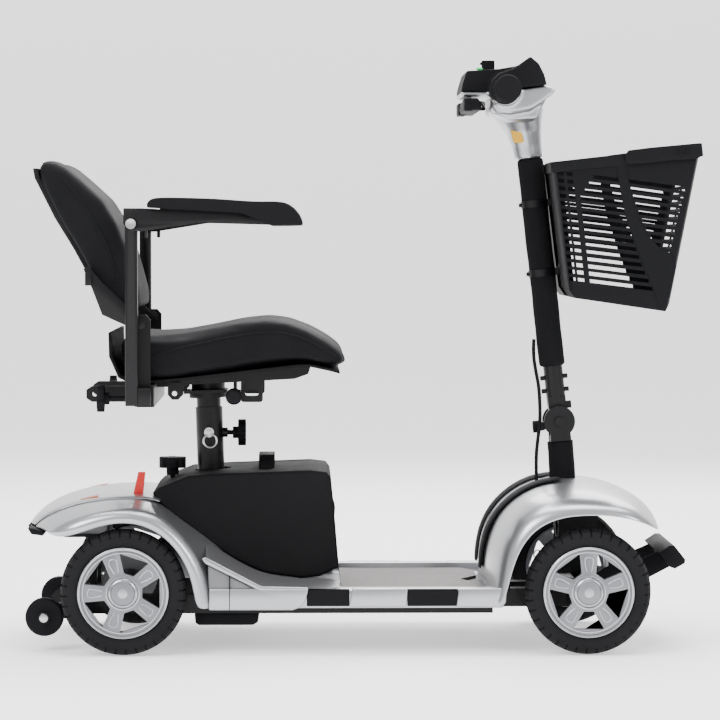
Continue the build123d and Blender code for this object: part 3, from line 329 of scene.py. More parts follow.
class Finish:
    def __init__(self, name):
        self.material = bpy.data.materials.new(name)
        self.material.use_nodes = True
        self.tree = self.material.node_tree
        self.shader = self.tree.nodes["Principled BSDF"]
        self.place = self.node("ShaderNodeTexCoord").outputs["Object"]

    def node(self, kind, settings=None, values=None):
        made = self.tree.nodes.new(kind)
        for key, value in (settings or {}).items():
            setattr(made, key, value)
        for key, value in (values or {}).items():
            self.feed(made.inputs[key], value)
        return made

    def feed(self, socket, value):
        if isinstance(value, Reading):
            self.tree.links.new(value.socket, socket)
        elif isinstance(value, bpy.types.NodeSocket):
            self.tree.links.new(value, socket)
        else:
            socket.default_value = value

    def noise(self, scale, detail=2, rough=0.5):
        made = self.node("ShaderNodeTexNoise", None, {
            "Vector": self.place, "Scale": scale, "Detail": detail, "Roughness": rough})
        return Reading(self, made.outputs["Fac"])

    def cells(self, scale, randomness=1.0):
        made = self.node("ShaderNodeTexVoronoi", {"feature": "F1"}, {
            "Vector": self.place, "Scale": scale, "Randomness": randomness})
        return Reading(self, made.outputs["Distance"])

    def bands(self, scale, direction, profile="SIN", distortion=0.0):
        made = self.node("ShaderNodeTexWave", {"bands_direction": direction, "wave_profile": profile}, {
            "Vector": self.place, "Scale": scale, "Distortion": distortion})
        return Reading(self, made.outputs["Fac"])

    def blend(self, factor, first, second):
        made = self.node("ShaderNodeMix", {"data_type": "RGBA"}, {0: factor, 6: (*first, 1), 7: (*second, 1)})
        return made.outputs[2]

    def bump(self, height, strength, distance):
        made = self.node("ShaderNodeBump", None, {"Height": height, "Strength": strength,
            "Distance": distance})
        self.feed(self.shader.inputs["Normal"], made.outputs["Normal"])

    def set(self, **values):
        names = {"colour": "Base Color", "roughness": "Roughness", "metallic": "Metallic",
            "coat": "Coat Weight", "specular": "Specular IOR Level", "glow": "Emission Color",
            "glowStrength": "Emission Strength"}
        for key, value in values.items():
            self.feed(self.shader.inputs[names[key]], value)
        return self.material


def moulded(name, dark, light, roughness, spread, grain, depth, metallic=0.0, coat=0.0, specular=0.5):
    # plastic, paint or metal: a slow change of shade, a fine grain and uneven gloss
    finish = Finish(name)
    slow = finish.noise(7, 3)
    fine = finish.noise(grain, 3, 0.6)
    finish.bump(fine, 0.6, depth)
    return finish.set(colour=finish.blend(slow * 0.6 + fine * 0.4, dark, light), metallic=metallic, coat=coat,
        roughness=roughness - spread / 2 + finish.noise(23, 4) * spread, specular=specular)


def grainedLeather(name, dark, light):
    finish = Finish(name)
    pebble = finish.cells(430)
    crease = finish.noise(60, 5, 0.6)
    finish.bump(pebble * 0.7 + crease * 0.5, 0.55, 0.0006)
    return finish.set(colour=finish.blend(finish.noise(9, 3), dark, light), specular=0.1,
        roughness=0.62 + 0.16 * finish.noise(31, 4))


def wovenCloth(name, dark, light, pitch):
    finish = Finish(name)
    weft = finish.bands(pitch, "Z")
    warp = finish.bands(pitch, "DIAGONAL")
    fuzz = finish.noise(900, 2)
    finish.bump(weft * 0.5 + warp * 0.4 + fuzz * 0.3, 0.6, 0.0005)
    return finish.set(colour=finish.blend(weft * warp * 0.7 + fuzz * 0.3, dark, light), roughness=0.95,
        specular=0.08)


def tyreRubber(name):
    finish = Finish(name)
    dust = finish.noise(14, 6, 0.65)
    finish.bump(finish.noise(700, 2), 0.5, 0.0004)
    return finish.set(colour=finish.blend(dust, (0.005, 0.005, 0.006), (0.014, 0.014, 0.015)),
        roughness=0.66 + 0.25 * dust, specular=0.1)


def deckRubber(name):
    finish = Finish(name)
    streak = finish.bands(38, "DIAGONAL", "SAW", 3)
    dots = finish.cells(240, 0.15)
    finish.bump(streak * 0.5 + (1 - dots) * 0.5, 0.8, 0.0012)
    return finish.set(colour=finish.blend(streak * 0.7 + finish.noise(40, 4) * 0.3, (0.028, 0.022, 0.02),
        (0.12, 0.1, 0.095)), roughness=0.5 + 0.2 * finish.noise(90, 3))


finishes = {
    "silver": moulded("satinSilverPaint", (0.385, 0.39, 0.41), (0.41, 0.415, 0.435), 0.3, 0.03, 900, 0.00003,
        metallic=0.85, coat=0.25),
    "greySilver": moulded("grainedSilverPanel", (0.15, 0.15, 0.16), (0.18, 0.18, 0.19), 0.48, 0.05, 700,
        0.0002, metallic=0.6),
    "wheelSilver": moulded("wheelSilverPaint", (0.38, 0.385, 0.405), (0.41, 0.415, 0.435), 0.28, 0.05, 800,
        0.00005, metallic=0.85, coat=0.2),
    "wheelGrey": moulded("wheelSpokePaint", (0.19, 0.195, 0.21), (0.23, 0.235, 0.25), 0.42, 0.06, 800, 0.0001,
        metallic=0.75),
    "blackGrain": moulded("grainedBlackPlastic", (0.003, 0.003, 0.0035), (0.009, 0.009, 0.01), 0.7, 0.1, 1100,
        0.0005, specular=0.08),
    "blackSatin": moulded("satinBlackPlastic", (0.003, 0.003, 0.004), (0.007, 0.007, 0.0085), 0.6, 0.1, 600,
        0.0001, specular=0.09),
    "blackPaint": moulded("blackFramePaint", (0.002, 0.002, 0.0025), (0.004, 0.004, 0.005), 0.4, 0.12, 500,
        0.0001, coat=0.04, specular=0.2),
    "padRubber": moulded("softBlackPad", (0.003, 0.003, 0.004), (0.008, 0.008, 0.009), 0.74, 0.1, 1300,
        0.0004, specular=0.1),
    "steel": moulded("brightSteel", (0.42, 0.42, 0.43), (0.6, 0.6, 0.61), 0.3, 0.14, 500, 0.0001,
        metallic=1.0),
    "castMetal": moulded("castAluminium", (0.2, 0.2, 0.21), (0.33, 0.33, 0.34), 0.55, 0.15, 420, 0.0006,
        metallic=0.8),
    "red": moulded("redPlastic", (0.42, 0.004, 0.003), (0.52, 0.008, 0.006), 0.4, 0.1, 500, 0.0001),
    "amber": moulded("amberReflector", (0.4, 0.07, 0.006), (0.5, 0.1, 0.01), 0.3, 0.1, 600, 0.0006),
    "yellow": moulded("yellowSticker", (0.68, 0.36, 0.004), (0.74, 0.4, 0.006), 0.5, 0.1, 300, 0.00005),
    "batteryCase": moulded("greyBatteryCase", (0.05, 0.05, 0.055), (0.09, 0.09, 0.1), 0.5, 0.1, 500, 0.0002),
    "leather": grainedLeather("blackSeatVinyl", (0.0025, 0.0025, 0.003), (0.006, 0.006, 0.0075)),
    "cloth": wovenCloth("blackSleeveCloth", (0.004, 0.004, 0.005), (0.014, 0.014, 0.015), 260),
    "tyre": tyreRubber("blackTyreRubber"),
    "mat": deckRubber("brownDeckRubber"),
}
print("finishes made:", len(finishes))

# camera, lights and floor
studio = {"camera": (-0.1095, -5.65, 0.676), "target": (-0.009, 0.0, 0.467), "lens": 168.75}


def aim(thing, target):
    thing.rotation_euler = (Vector(target) - thing.location).to_track_quat("-Z", "Y").to_euler()


bpy.ops.object.camera_add(location=studio["camera"])
camera = bpy.context.object
camera.name = "studioCamera"
camera.data.lens = studio["lens"]
camera.data.sensor_width = 36
aim(camera, studio["target"])
bpy.context.scene.camera = camera

lamps = [
    ("keySoftbox", (-2.6, -3.2, 3.4), 2.2, 190), ("frontSoftbox", (2.8, -3.4, 2.2), 1.6, 90),
    ("topSoftbox", (0.2, 0.3, 3.8), 2.8, 230), ("backSoftbox", (0.6, 3.0, 2.6), 2.4, 110),
]
for name, place, size, power in lamps:
    bpy.ops.object.light_add(type="AREA", location=place)
    lamp = bpy.context.object
    lamp.name = name
    lamp.data.size = size
    lamp.data.energy = power
    aim(lamp, (0, 0, 0.4))
world = bpy.data.worlds.new("paleRoom")
world.use_nodes = True
world.node_tree.nodes["Background"].inputs[0].default_value = (1, 1, 1, 1)
world.node_tree.nodes["Background"].inputs[1].default_value = 0.8
bpy.context.scene.world = world

deselectAll()
bpy.ops.mesh.primitive_grid_add(x_subdivisions=2, y_subdivisions=96, size=1)
floor = begin("paleFloor")
for vertex in floor.data.vertices:
    along = (vertex.co.y + 0.5) * 24
    sweep = max(0.0, min(1.0, (along - 19) / 3.1)) * math.pi / 2
    flat = min(along, 19) - 12
    height = 2 * (1 - math.cos(sweep)) + max(0.0, along - 22.1) * 4
    vertex.co = Vector((vertex.co.x * 30, flat + 2 * math.sin(sweep), height))
floor.location.z = -0.0005
settle(floor)
smooth(floor, 60)
backdrop = Finish("paleFloorPaint")
backdrop.set(colour=backdrop.blend(backdrop.noise(0.7, 2), (0.93, 0.93, 0.93), (0.95, 0.95, 0.95)),
    roughness=0.9, specular=0.1, glow=(1, 1, 1, 1), glowStrength=0.7)
floor.data.materials.append(backdrop.material)
floor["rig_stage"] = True
print("studio ready")

# cables
cableKnots = [(282, -8, 502), (280.5, -10, 478), (285, -14, 448), (290.5, -17, 420), (291.5, -17.5, 393),
    (292.5, -18, 366), (288, -17.5, 334), (285, -16, 300), (286.5, -15, 262)]


def cableRun(name, knots, replaced):
    # the route's own smooth line first, then a tube along it
    drawn = drawLine(name, [spot(*place) for place in knots], 16)
    line = bpy.data.meshes.new_from_object(drawn)
    bpy.data.meshes.remove(line)
    piece = thicken(drawn, 3 * mm, 4)
    piece.data.materials.append(finishes["padRubber"])
    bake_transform(piece)
    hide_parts(replaced)


cableRun("tillerCableRun", cableKnots[:5], "tiller_cable")
cableRun("columnCableRun", cableKnots[4:], "column_cable")
print("cables laid")

# wheels
wheel = {"steps": 216, "grooveEvery": 6, "grooveDepth": 2.6}
tyreSection = [(71.5, -20), (76, -24), (83, -26.4), (90, -26.6), (96.5, -23.5), (100.3, -15), (101.4, -7),
    (101.5, 0), (101.4, 7), (100.3, 15), (96.5, 23.5), (90, 26.6), (83, 26.4), (76, 24), (71.5, 20),
    (71.5, 0)]


def ringOf(name, section, steps=64):
    # a closed section in (radius, across) turned once round the axle
    deselectAll()
    bpy.ops.mesh.primitive_circle_add(vertices=len(section), radius=0.1)
    ring = begin(name)
    for vertex, (out, across) in zip(ring.data.vertices, section):
        vertex.co = spot(out, across, 0)
    enterEdit()
    bpy.ops.mesh.spin(steps=steps, angle=2 * math.pi, center=(0, 0, 0), axis=(0, 1, 0))
    bpy.ops.mesh.select_all(action="SELECT")
    bpy.ops.mesh.remove_doubles(threshold=0.00001)
    bpy.ops.mesh.normals_make_consistent(inside=False)
    leaveEdit()
    return ring


def makeTyre():
    tyre = ringOf("tyrePattern", tyreSection, wheel["steps"])

    def inGroove(face):
        x, y, z = face.center
        turn = int((math.degrees(math.atan2(z, x)) % 360) / (360 / wheel["steps"]))
        shift = 0 if y > 0 else wheel["grooveEvery"] // 2
        band = abs(y) / mm
        return math.hypot(x, z) > 92 * mm and band > 4 and (turn + shift) % wheel["grooveEvery"] == 0

    pickFaces(tyre, inGroove)
    bpy.ops.mesh.extrude_region_shrink_fatten(TRANSFORM_OT_shrink_fatten={"value": -wheel["grooveDepth"] * mm})
    leaveEdit()
    pickFaces(tyre, lambda face: abs(math.hypot(face.center.x, face.center.z) - 101.45 * mm) < 0.4 * mm
              and abs(face.center.y) < 7 * mm and int(math.degrees(math.atan2(face.center.z, face.center.x)) * 0.4) % 2)
    bpy.ops.mesh.extrude_region_shrink_fatten(TRANSFORM_OT_shrink_fatten={"value": -1.5 * mm})
    leaveEdit()
    smooth(tyre, 28)
    return tyre


def makeRimFace():
    # lip, hub ring and domed cap on the outer face, and a raised loop on each of the five spokes
    parts = [
        ringOf("rimLip", [(72, -24), (73.2, -25.4), (71.6, -26.6), (69.4, -26.2), (68.2, -24)]),
        ringOf("rimStep", [(66.2, -23.6), (65.6, -25.6), (63.8, -25.6), (62.8, -23.6)]),
        ringOf("hubRing", [(28, -23.8), (27.6, -25.4), (25.8, -25.8), (24.6, -25), (24.4, -23.8)]),
    ]
    bpy.ops.mesh.primitive_uv_sphere_add(segments=48, ring_count=24, radius=24.4 * mm,
        location=(0, -23.6 * mm, 0), rotation=(math.pi / 2, 0, 0), scale=(1, 1, 0.32))
    cap = begin("hubCap")
    settle(cap)
    parts.append(cap)
    loop = [(34, -3.2), (36.5, -4.6), (52, -7.2), (56, -5.5), (57, 0), (56, 5.5), (52, 7.2), (36.5, 4.6),
        (34, 3.2)]
    for spoke in range(5):
        turn = Matrix.Rotation(math.radians(72 * spoke + 36), 4, "Y")
        knots = [turn @ spot(x, -24.2, z) for x, z in loop]
        parts.append(pipe("spokeLoop", knots, 1.3 * mm, resolution=3))
    rim = join("rimFacePattern", parts)
    smooth(rim, 40)
    return rim


tyrePattern = makeTyre()
rimPattern = makeRimFace()
for sideName, side in sides.items():
    for end in ("rear", "front"):
        low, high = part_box(f"{end}_tyre_{sideName}")
        centre = (low + high) / 2
        tyre = copyPiece(tyrePattern, f"{end}TyreTread{sideName.title()}")
        moveMesh(tyre, Matrix.Translation(centre) @ Matrix.Rotation(math.radians(3 if end == "rear" else 8),
            4, "Y"))
        dress(tyre, "tyre", f"{end}_wheel_{sideName}")
        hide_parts(f"{end}_tyre_{sideName}")
        face = copyPiece(rimPattern, f"{end}RimFace{sideName.title()}")
        turn = Matrix.Rotation(math.radians(0 if end == "rear" else -54), 4, "Y")
        if side > 0:
            flipAcross(face)
        moveMesh(face, Matrix.Translation(centre) @ turn)
        dress(face, "wheelSilver", f"{end}_wheel_{sideName}")
        rim = softened(f"{end}_rim_{sideName}", f"{end}RimSpokes{sideName.title()}", 0.0011, 2)
        dress(rim, "wheelGrey", f"{end}_wheel_{sideName}")
for pattern in (tyrePattern, rimPattern):
    bpy.data.objects.remove(pattern)
print("wheels done")

# rear body
# station by station from the tail over the wheel to the foot: middle, shoulder, groove, band top, band, lip
rearStations = [
    ((-556, 203), (-546, 203), (-523, 198), (-520, 197), (-518, 196), (-517, 194)),
    ((-541, 220), (-532, 218), (-508, 206), (-505, 205), (-502, 198), (-500, 189)),
    ((-509, 236), (-507, 232), (-484, 218), (-480, 217), (-476, 204), (-472, 193)),
    ((-474, 245), (-478, 242), (-448, 230), (-446, 229), (-442, 217), (-438, 206)),
    ((-440, 251), (-445, 248), (-412, 237), (-412, 235.5), (-408, 224), (-405, 213)),
    ((-400, 253.5), (-405, 252), (-380, 238), (-380, 236.5), (-378, 224), (-376, 212)),
    ((-346, 253), (-352, 252), (-344, 232), (-347, 230), (-350, 217), (-354, 205)),
]
footStations = [
    ((-354, 253, 150), (-360, 252, 158), (-344, 232, 226), (-345, 229, 236), (-350, 217, 246.5),
        (-354, 204, 242)),
    ((-330, 231, 149), (-329, 232, 156), (-317, 213, 226), (-318, 211, 236), (-325, 202, 246.5),
        (-331, 192, 242)),
    ((-300, 207, 149), (-298, 208, 156), (-291, 187, 226), (-292, 185, 236), (-302, 178, 246.5),
        (-310, 171, 242)),
    ((-264, 182, 149), (-262, 183, 156), (-270, 156, 228), (-272, 153, 238), (-284, 148, 246.5),
        (-293, 143, 242)),
    ((-240, 163, 149), (-239, 163, 158), (-260, 122, 232), (-262, 120, 240), (-274, 118, 246.5),
        (-284, 114, 242)),
    ((-238, 161, 149), (-238, 160, 160), (-257, 96, 234), (-258, 94, 241), (-270, 92, 246.5),
        (-280, 90, 242)),
    ((-237, 159, 149), (-237, 158, 161), (-255, 76, 235), (-256, 76, 241), (-266, 75, 246.5),
        (-276, 78, 242)),
]


tailRows = []
for middle, shoulder, *_ in rearStations:
    narrow = {-556: 0.78, -541: 0.92}.get(middle[0], 1)
    tailRows.append([(shoulder[0], -163 * narrow, shoulder[1] - 3), (shoulder[0], -158 * narrow, shoulder[1]),
        (middle[0], -120 * narrow, middle[1]), (middle[0], 0, middle[1]), (middle[0], 120 * narrow,
        middle[1]), (shoulder[0], 158 * narrow, shoulder[1]), (shoulder[0], 163 * narrow, shoulder[1] - 3)])
tailRows.append([(-336, y, z - 7) for x, y, z in tailRows[-1]])
rearTail = skin("rearTailShell", tailRows, 3, (0, 0, 1))
smooth(rearTail, 60)
dress(rearTail, "silver")
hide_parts("rear_cowl")
for sideName, side in sides.items():
    rows = []
    for place, station in enumerate(rearStations):
        narrow = {0: 0.84, 1: 0.95}.get(place, 1)
        under = (station[1][0] + 3, side * 140 * narrow, station[1][1] - 7)
        rows.append([under] + [(x, side * y * narrow, z - drop) for (x, z), y, drop in zip(station[1:],
            (157, 226, 236, 246.5, 242), (1.5, 0, 0, 0, 0))])
    for station in footStations[1:]:
        under = (station[1][0] + 4, side * 138, station[1][1] - 3)
        rows.append([under] + [(x, side * y, z) for x, z, y in station[1:]])
    fender = skin(f"rearFender{sideName.title()}", rows, 3, (0.1, side * 0.8, 0.6))
    smooth(fender, 60)
    dress(fender, "silver")
    well = [(-394 + 122 * math.cos(math.radians(turn)), 101.5 + 122 * math.sin(math.radians(turn)))
            for turn in range(-6, 138, 12)]
    rows = [[(x, side * y, min(z, 196 if x < -470 else z)) for y in (152, 190, 236)] for x, z in well]
    liner = skin(f"rearWheelLiner{sideName.title()}", rows, 2, (0.3, 0, 1), levels=1)
    smooth(liner, 60)
    dress(liner, "blackGrain")
    strip = slab(f"tailBumperStrip{sideName.title()}", [(-552, 201), (-546, 191), (-527, 188), (-524, 194),
        (-538, 199)], side * 112, side * 178)
    ease(strip, 1.2)
    dress(strip, "blackSatin")
tailStrip = slab("tailBumperStrip", [(-556, 201), (-551, 190), (-540, 188), (-538, 194), (-549, 201)], -118,
    118)
ease(tailStrip, 1.5)
dress(tailStrip, "blackSatin")
for sideName, side in sides.items():
    lens = slab(f"tailReflector{sideName.title()}", [(-470, 240), (-468, 245), (-440, 250.6), (-436, 246)],
        side * 100, side * 146)
    ease(lens, 1)
    dress(lens, "amber")
underTray = slab("underTray", [(-282, 60), (-280, 44), (-274, 41), (-186, 41), (-178, 46), (-176, 60)], -168,
    168)
ease(underTray, 2)
dress(underTray, "blackSatin")
underTail = slab("tailUnderCover", [(-500, 192), (-440, 224), (-400, 231), (-350, 228), (-318, 205),
    (-318, 200), (-352, 222), (-400, 226), (-440, 219), (-500, 187)], -152, 152)
smooth(underTail)
dress(underTail, "blackGrain")
print("rear body done")

# front body
frontStations = [
    ((189, 110), (193, 108), (201, 88), (207, 84), (213, 82)),
    ((190, 142), (194, 140), (206, 118), (213, 104), (222, 98)),
    ((196, 177), (200, 175), (211, 160), (219, 142), (230, 132)),
    ((213, 217), (216, 213), (225, 205), (232, 187), (243, 170)),
    ((244, 247), (246, 244), (250, 238), (257, 220), (267, 202)),
    ((290, 269), (290, 266), (291, 256), (296, 238), (302, 220)),
    ((345, 272), (344, 270), (340, 257), (340, 243), (341, 226)),
    ((398, 265), (396, 264), (393, 254), (394, 241), (396, 225)),
    ((443, 247), (441, 246), (436, 239), (436, 229), (437, 216)),
    ((471, 227), (469, 226), (462, 217), (461, 211), (461, 205)),
    ((483, 205), (480, 204), (475, 201), (473, 200), (471, 199)),
]
frontAcross = (0, 112, 206, 241, 246.5)
noseRows = []
for place, station in enumerate(frontStations):
    narrow = {9: 0.93, 10: 0.84}.get(place, 1)
    near = [(x, -y * narrow, z) for (x, z), y in zip(station, frontAcross)][::-1]
    noseRows.append(near + [(x, -y, z) for x, y, z in reversed(near[:-1])])
nose = skin("frontCowlShell", noseRows, 3, (-0.5, 0, 1))
smooth(nose, 60)
dress(nose, "silver")
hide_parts("front_cowl")
liner = slab("frontWheelLiner", [(224, 90), (226, 128), (236, 168), (262, 208), (300, 240), (345, 250),
    (395, 247), (430, 232), (418, 214), (390, 222), (340, 224), (300, 216), (268, 198), (248, 168),
    (238, 128), (236, 90)], -118, 118)
ease(liner, 2)
dress(liner, "blackGrain")
for sideName, side in sides.items():
    rows = []
    for x, z in [(191, 124), (192.5, 150), (198, 180), (213, 213), (240, 241), (268, 258), (292, 266.5),
            (322, 270.5)]:
        normal = Vector((x - 335, 0, z - 115)).normalized() * 4.5
        rows.append([(x + normal.x * rise, side * y, z + normal.z * rise) for y, rise in ((34, 0.2), (38, 1),
            (62, 1.25), (86, 1), (90, 0.2))])
    strip = skin(f"cowlGripStrip{sideName.title()}", rows, 2, (-0.7, 0, 0.7))
    smooth(strip, 50)
    dress(strip, "padRubber")
    if side < 0:
        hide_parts("cowl_grips")
print("front body done")

# sides of the deck
trim = {"outer": 239.5, "inner": 226, "insertDepth": 3}
for sideName, side in sides.items():
    outer = side * trim["outer"]
    tag = sideName.title()
    beam = slab(f"sideTrimBeam{tag}", [(-257, 73), (-121, 73), (-108, 78), (-100, 90), (-96, 107),
        (-176, 108), (-256, 108)], side * 222, outer)
    rail = slab(f"sideTrimRidge{tag}", [(-268, 156), (-263, 160), (-172, 112), (-96, 110), (-96, 104),
        (-174, 104), (-262, 148)], side * 228, outer + side * 0.5)
    panel = slab(f"sideTrimRecess{tag}", [(-257, 104), (-258, 146), (-182, 107)], side * 224,
        outer - side * 5)
    rearSeam = slab(f"sideTrimSeam{tag}", [(-223.8, 74), (-223.8, 128), (-222.4, 127.5), (-222.4, 74)],
        side * 226, outer + side * 0.6)
    middle = slab(f"sideTrimMiddle{tag}", [(-31, 78), (-26, 108), (64, 108), (62, 78)], side * 226, outer)
    front = slab(f"sideTrimFront{tag}", [(142, 78), (146, 108), (224, 108), (222, 84), (214, 76)], side * 226,
        outer)
    for piece, finish, width in ((beam, "silver", 3), (rail, "silver", 3), (panel, "greySilver", 3),
            (rearSeam, "blackSatin", 0.3), (middle, "silver", 3), (front, "silver", 3)):
        ease(piece, width, 3, 50)
        dress(piece, finish)
    for name, start, stop in (("Rear", -99, -30), ("Front", 63, 145)):
        insert = slab(f"sideInsert{name}{tag}", [(start, 79), (start, 106.5), (stop, 106.5), (stop, 79)],
            side * 226, outer - side * trim["insertDepth"])
        ease(insert, 1.5, 2, 50)
        dress(insert, "blackSatin")
    rows = []
    for ridge, edge in (((-263, 158), (-262, 182)), ((-240, 146), (-235, 161)), ((-205, 128), (-195, 138)),
            ((-174, 112), (-167, 126)), ((-140, 110), (-108, 117)), ((-100, 109.5), (-72, 119)),
            ((-60, 108.5), (-40, 114))):
        middleX, middleZ = (ridge[0] + edge[0]) / 2, (ridge[1] + edge[1]) / 2 - 4
        rows.append([(ridge[0], outer, ridge[1]), (middleX, side * 192, middleZ), (edge[0], side * 149,
            edge[1]), (edge[0], side * 146, edge[1] - 6)])
    slope = skin(f"sideSlope{tag}", rows, 2.5, (0, side * 0.4, 1))
    smooth(slope, 60)
    dress(slope, "greySilver")
pan = softened("floor_pan", "deckPan", 0.0012, 2)
pickFaces(pan, lambda face: face.center.z > 108 * mm and abs(face.center.y) > 152 * mm)
bpy.ops.mesh.select_linked()
bpy.ops.mesh.delete(type="FACE")
leaveEdit()
dress(pan, "silver")
print("deck sides done")

# battery box, its lid groove, handle and charge socket
boxShell = softened("battery_box", "batteryBoxShell", 0.0022, 3)
dress(boxShell, "blackGrain")
lidGroove = slab("batteryLidGroove", [(-232, 287.6), (-92, 292.6), (-92, 291.4), (-232, 286.2)], 112, 114)
dress(lidGroove, "blackSatin")
handleArch = pipe("batteryHandleGrip", [spot(-165, y, z) for y, z in ((-60, 288), (-56, 298), (-44, 306),
    (-24, 308.5), (0, 309), (24, 308.5), (44, 306), (56, 298), (60, 288))], 4.5 * mm)
for vertex in handleArch.data.vertices:
    vertex.co.x = -0.165 + (vertex.co.x + 0.165) * 2.9
smooth(handleArch)
dress(handleArch, "blackSatin")
charge = slab("chargeSocket", [(-57, 232), (-52.5, 230), (-51, 222), (-52, 206), (-56, 203)], -36, 36)
ease(charge, 2, 3)
dress(charge, "blackSatin")


def loft(name, outline, stations, levels=0):
    # the same outline at each distance across, scaled about its middle, with closed ends
    midX = sum(x for x, z in outline) / len(outline)
    midZ = sum(z for x, z in outline) / len(outline)
    closedOutline = outline + outline[:1]
    rows = [[(midX + (x - midX) * size, y, midZ + (z - midZ) * size) for x, z in closedOutline]
            for y, size in stations]
    return closeRows(name, rows, levels)


def closeRows(name, rows, levels):
    piece = skin(name, rows, 0, (0, 0, 1), levels=0)
    workOn(piece)
    enterEdit()
    bpy.ops.mesh.remove_doubles(threshold=0.00001)
    bpy.ops.mesh.fill_holes(sides=0)
    bpy.ops.mesh.select_all(action="SELECT")
    bpy.ops.mesh.normals_make_consistent(inside=False)
    leaveEdit()
    if levels:
        modify(piece, "SUBSURF", levels=levels, render_levels=levels)
    return piece


def melt(piece, size, rounds):
    # remeshes joined solids into one moulded skin
    piece.data.remesh_voxel_size = size
    workOn(piece)
    bpy.ops.object.voxel_remesh()
    modify(piece, "SMOOTH", iterations=rounds, factor=0.5)
    smooth(piece, 60)
    return piece


def puff(piece, pressure, most):
    # remeshed cloth blown up a little, no point moving further than most
    piece.data.remesh_voxel_size = 0.006
    workOn(piece)
    bpy.ops.object.voxel_remesh()
    modify(piece, "SMOOTH", iterations=6, factor=0.5)
    start = [vertex.co.copy() for vertex in piece.data.vertices]
    bpy.ops.object.modifier_add(type="CLOTH")
    cloth = piece.modifiers[-1]
    cloth.settings.quality = 4
    cloth.settings.use_pressure = True
    cloth.settings.uniform_pressure_force = pressure
    cloth.settings.effector_weights.gravity = 0
    cloth.settings.tension_stiffness = 22
    cloth.settings.bending_stiffness = 1.5
    for step in range(1, 21):
        bpy.context.scene.frame_set(step)
    bpy.ops.object.modifier_apply(modifier=cloth.name)
    bpy.context.scene.frame_set(1)
    for vertex, before in zip(piece.data.vertices, start):
        shift = vertex.co - before
        if shift.length > most:
            vertex.co = before + shift * (most / shift.length)
    modify(piece, "SMOOTH", iterations=4, factor=0.5)
    modify(piece, "SUBSURF", levels=1, render_levels=1)
    smooth(piece, 60)


def onSide(piece, x, z, side):
    # where a line from the side first meets the piece
    hit, place, normal, face = piece.ray_cast(Vector((x * mm, side * 0.4, z * mm)), Vector((0, -side, 0)))
    return place if hit else Vector((x * mm, side * 0.2, z * mm))


# seat
seatPad = {"pressure": 4, "most": 0.006, "fill": 0.8, "piping": 2.2, "hem": 1.8}
seatOutline = [(-405, 508), (-404, 478), (-394, 456), (-380, 447), (-345, 446), (-300, 450), (-240, 457),
    (-170, 467), (-110, 473), (-80, 471), (-56, 465), (-38, 462), (-31, 467), (-33, 477), (-42, 488),
    (-62, 502), (-90, 517), (-125, 530), (-160, 534), (-200, 530), (-245, 521), (-300, 511), (-345, 508),
    (-385, 511)]
seatAcross = [(-203, 0.80), (-199, 0.9), (-190, 0.96), (-160, 1), (-80, 0.985), (0, 0.97), (80, 0.985),
    (160, 1), (190, 0.96), (199, 0.9), (203, 0.80)]
seat = loft("seatCushionCover", seatOutline, seatAcross)
puff(seat, seatPad["pressure"], seatPad["most"])
dress(seat, "leather", "seat")
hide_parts("seat_cushion")
seatSeam = [(-352, 478), (-321, 490), (-265, 502), (-210, 514), (-168, 519), (-132, 518), (-99, 507),
    (-71, 490), (-50, 478)]
for sideName, side in sides.items():
    knots = [onSide(seat, x, z, side) for x, z in seatSeam]
    piping = pipe(f"seatPiping{sideName.title()}", knots, seatPad["piping"] * mm)
    smooth(piping)
    dress(piping, "leather", "seat")
    wrapSeam = [onSide(seat, x, z, side) for x, z in ((-352, 482), (-347, 470), (-352, 456), (-366, 447))]
    hem = pipe(f"seatWrapSeam{sideName.title()}", wrapSeam, seatPad["hem"] * mm)
    smooth(hem)
    dress(hem, "leather", "seat")

# backrest
backPad = {"pressure": 4, "most": 0.003, "fill": 0.75, "piping": 2.2, "hem": 1.6}
backOutline = [(-424, 560), (-431, 577), (-441, 595), (-455, 626), (-473, 658), (-502, 706), (-531, 765),
    (-535, 788), (-528, 799), (-512, 800), (-494, 791), (-466, 767), (-431, 735), (-407, 696), (-391, 655),
    (-378, 610), (-369, 577), (-366, 556), (-380, 551), (-404, 553)]
backAcross = [(-199, 0.82), (-194, 0.92), (-184, 0.965), (-150, 0.99), (-75, 0.985), (0, 0.98), (75, 0.985),
    (150, 0.99), (184, 0.965), (194, 0.92), (199, 0.82)]
back = loft("backCushionCover", backOutline, backAcross)
puff(back, backPad["pressure"], backPad["most"])
dress(back, "leather", "back")
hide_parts("back_cushion")
backSeam = [(-524, 792), (-500, 775), (-475, 748), (-452, 718), (-430, 682), (-414, 646), (-402, 606)]
hemLine = [(-446, 612), (-432, 602), (-402, 600)]
for sideName, side in sides.items():
    for name, line, radius in (("backPiping", backSeam, backPad["piping"]), ("backHem", hemLine,
            backPad["hem"])):
        seam = pipe(f"{name}{sideName.title()}", [onSide(back, x, z, side) for x, z in line], radius * mm)
        smooth(seam)
        dress(seam, "leather", "back")
    strap = slab(f"backStrap{sideName.title()}", [(-446, 592), (-443, 594), (-428, 562), (-424, 548),
        (-427, 547)], side * 150, side * 176)
    dress(strap, "cloth", "back")
print("seat done")

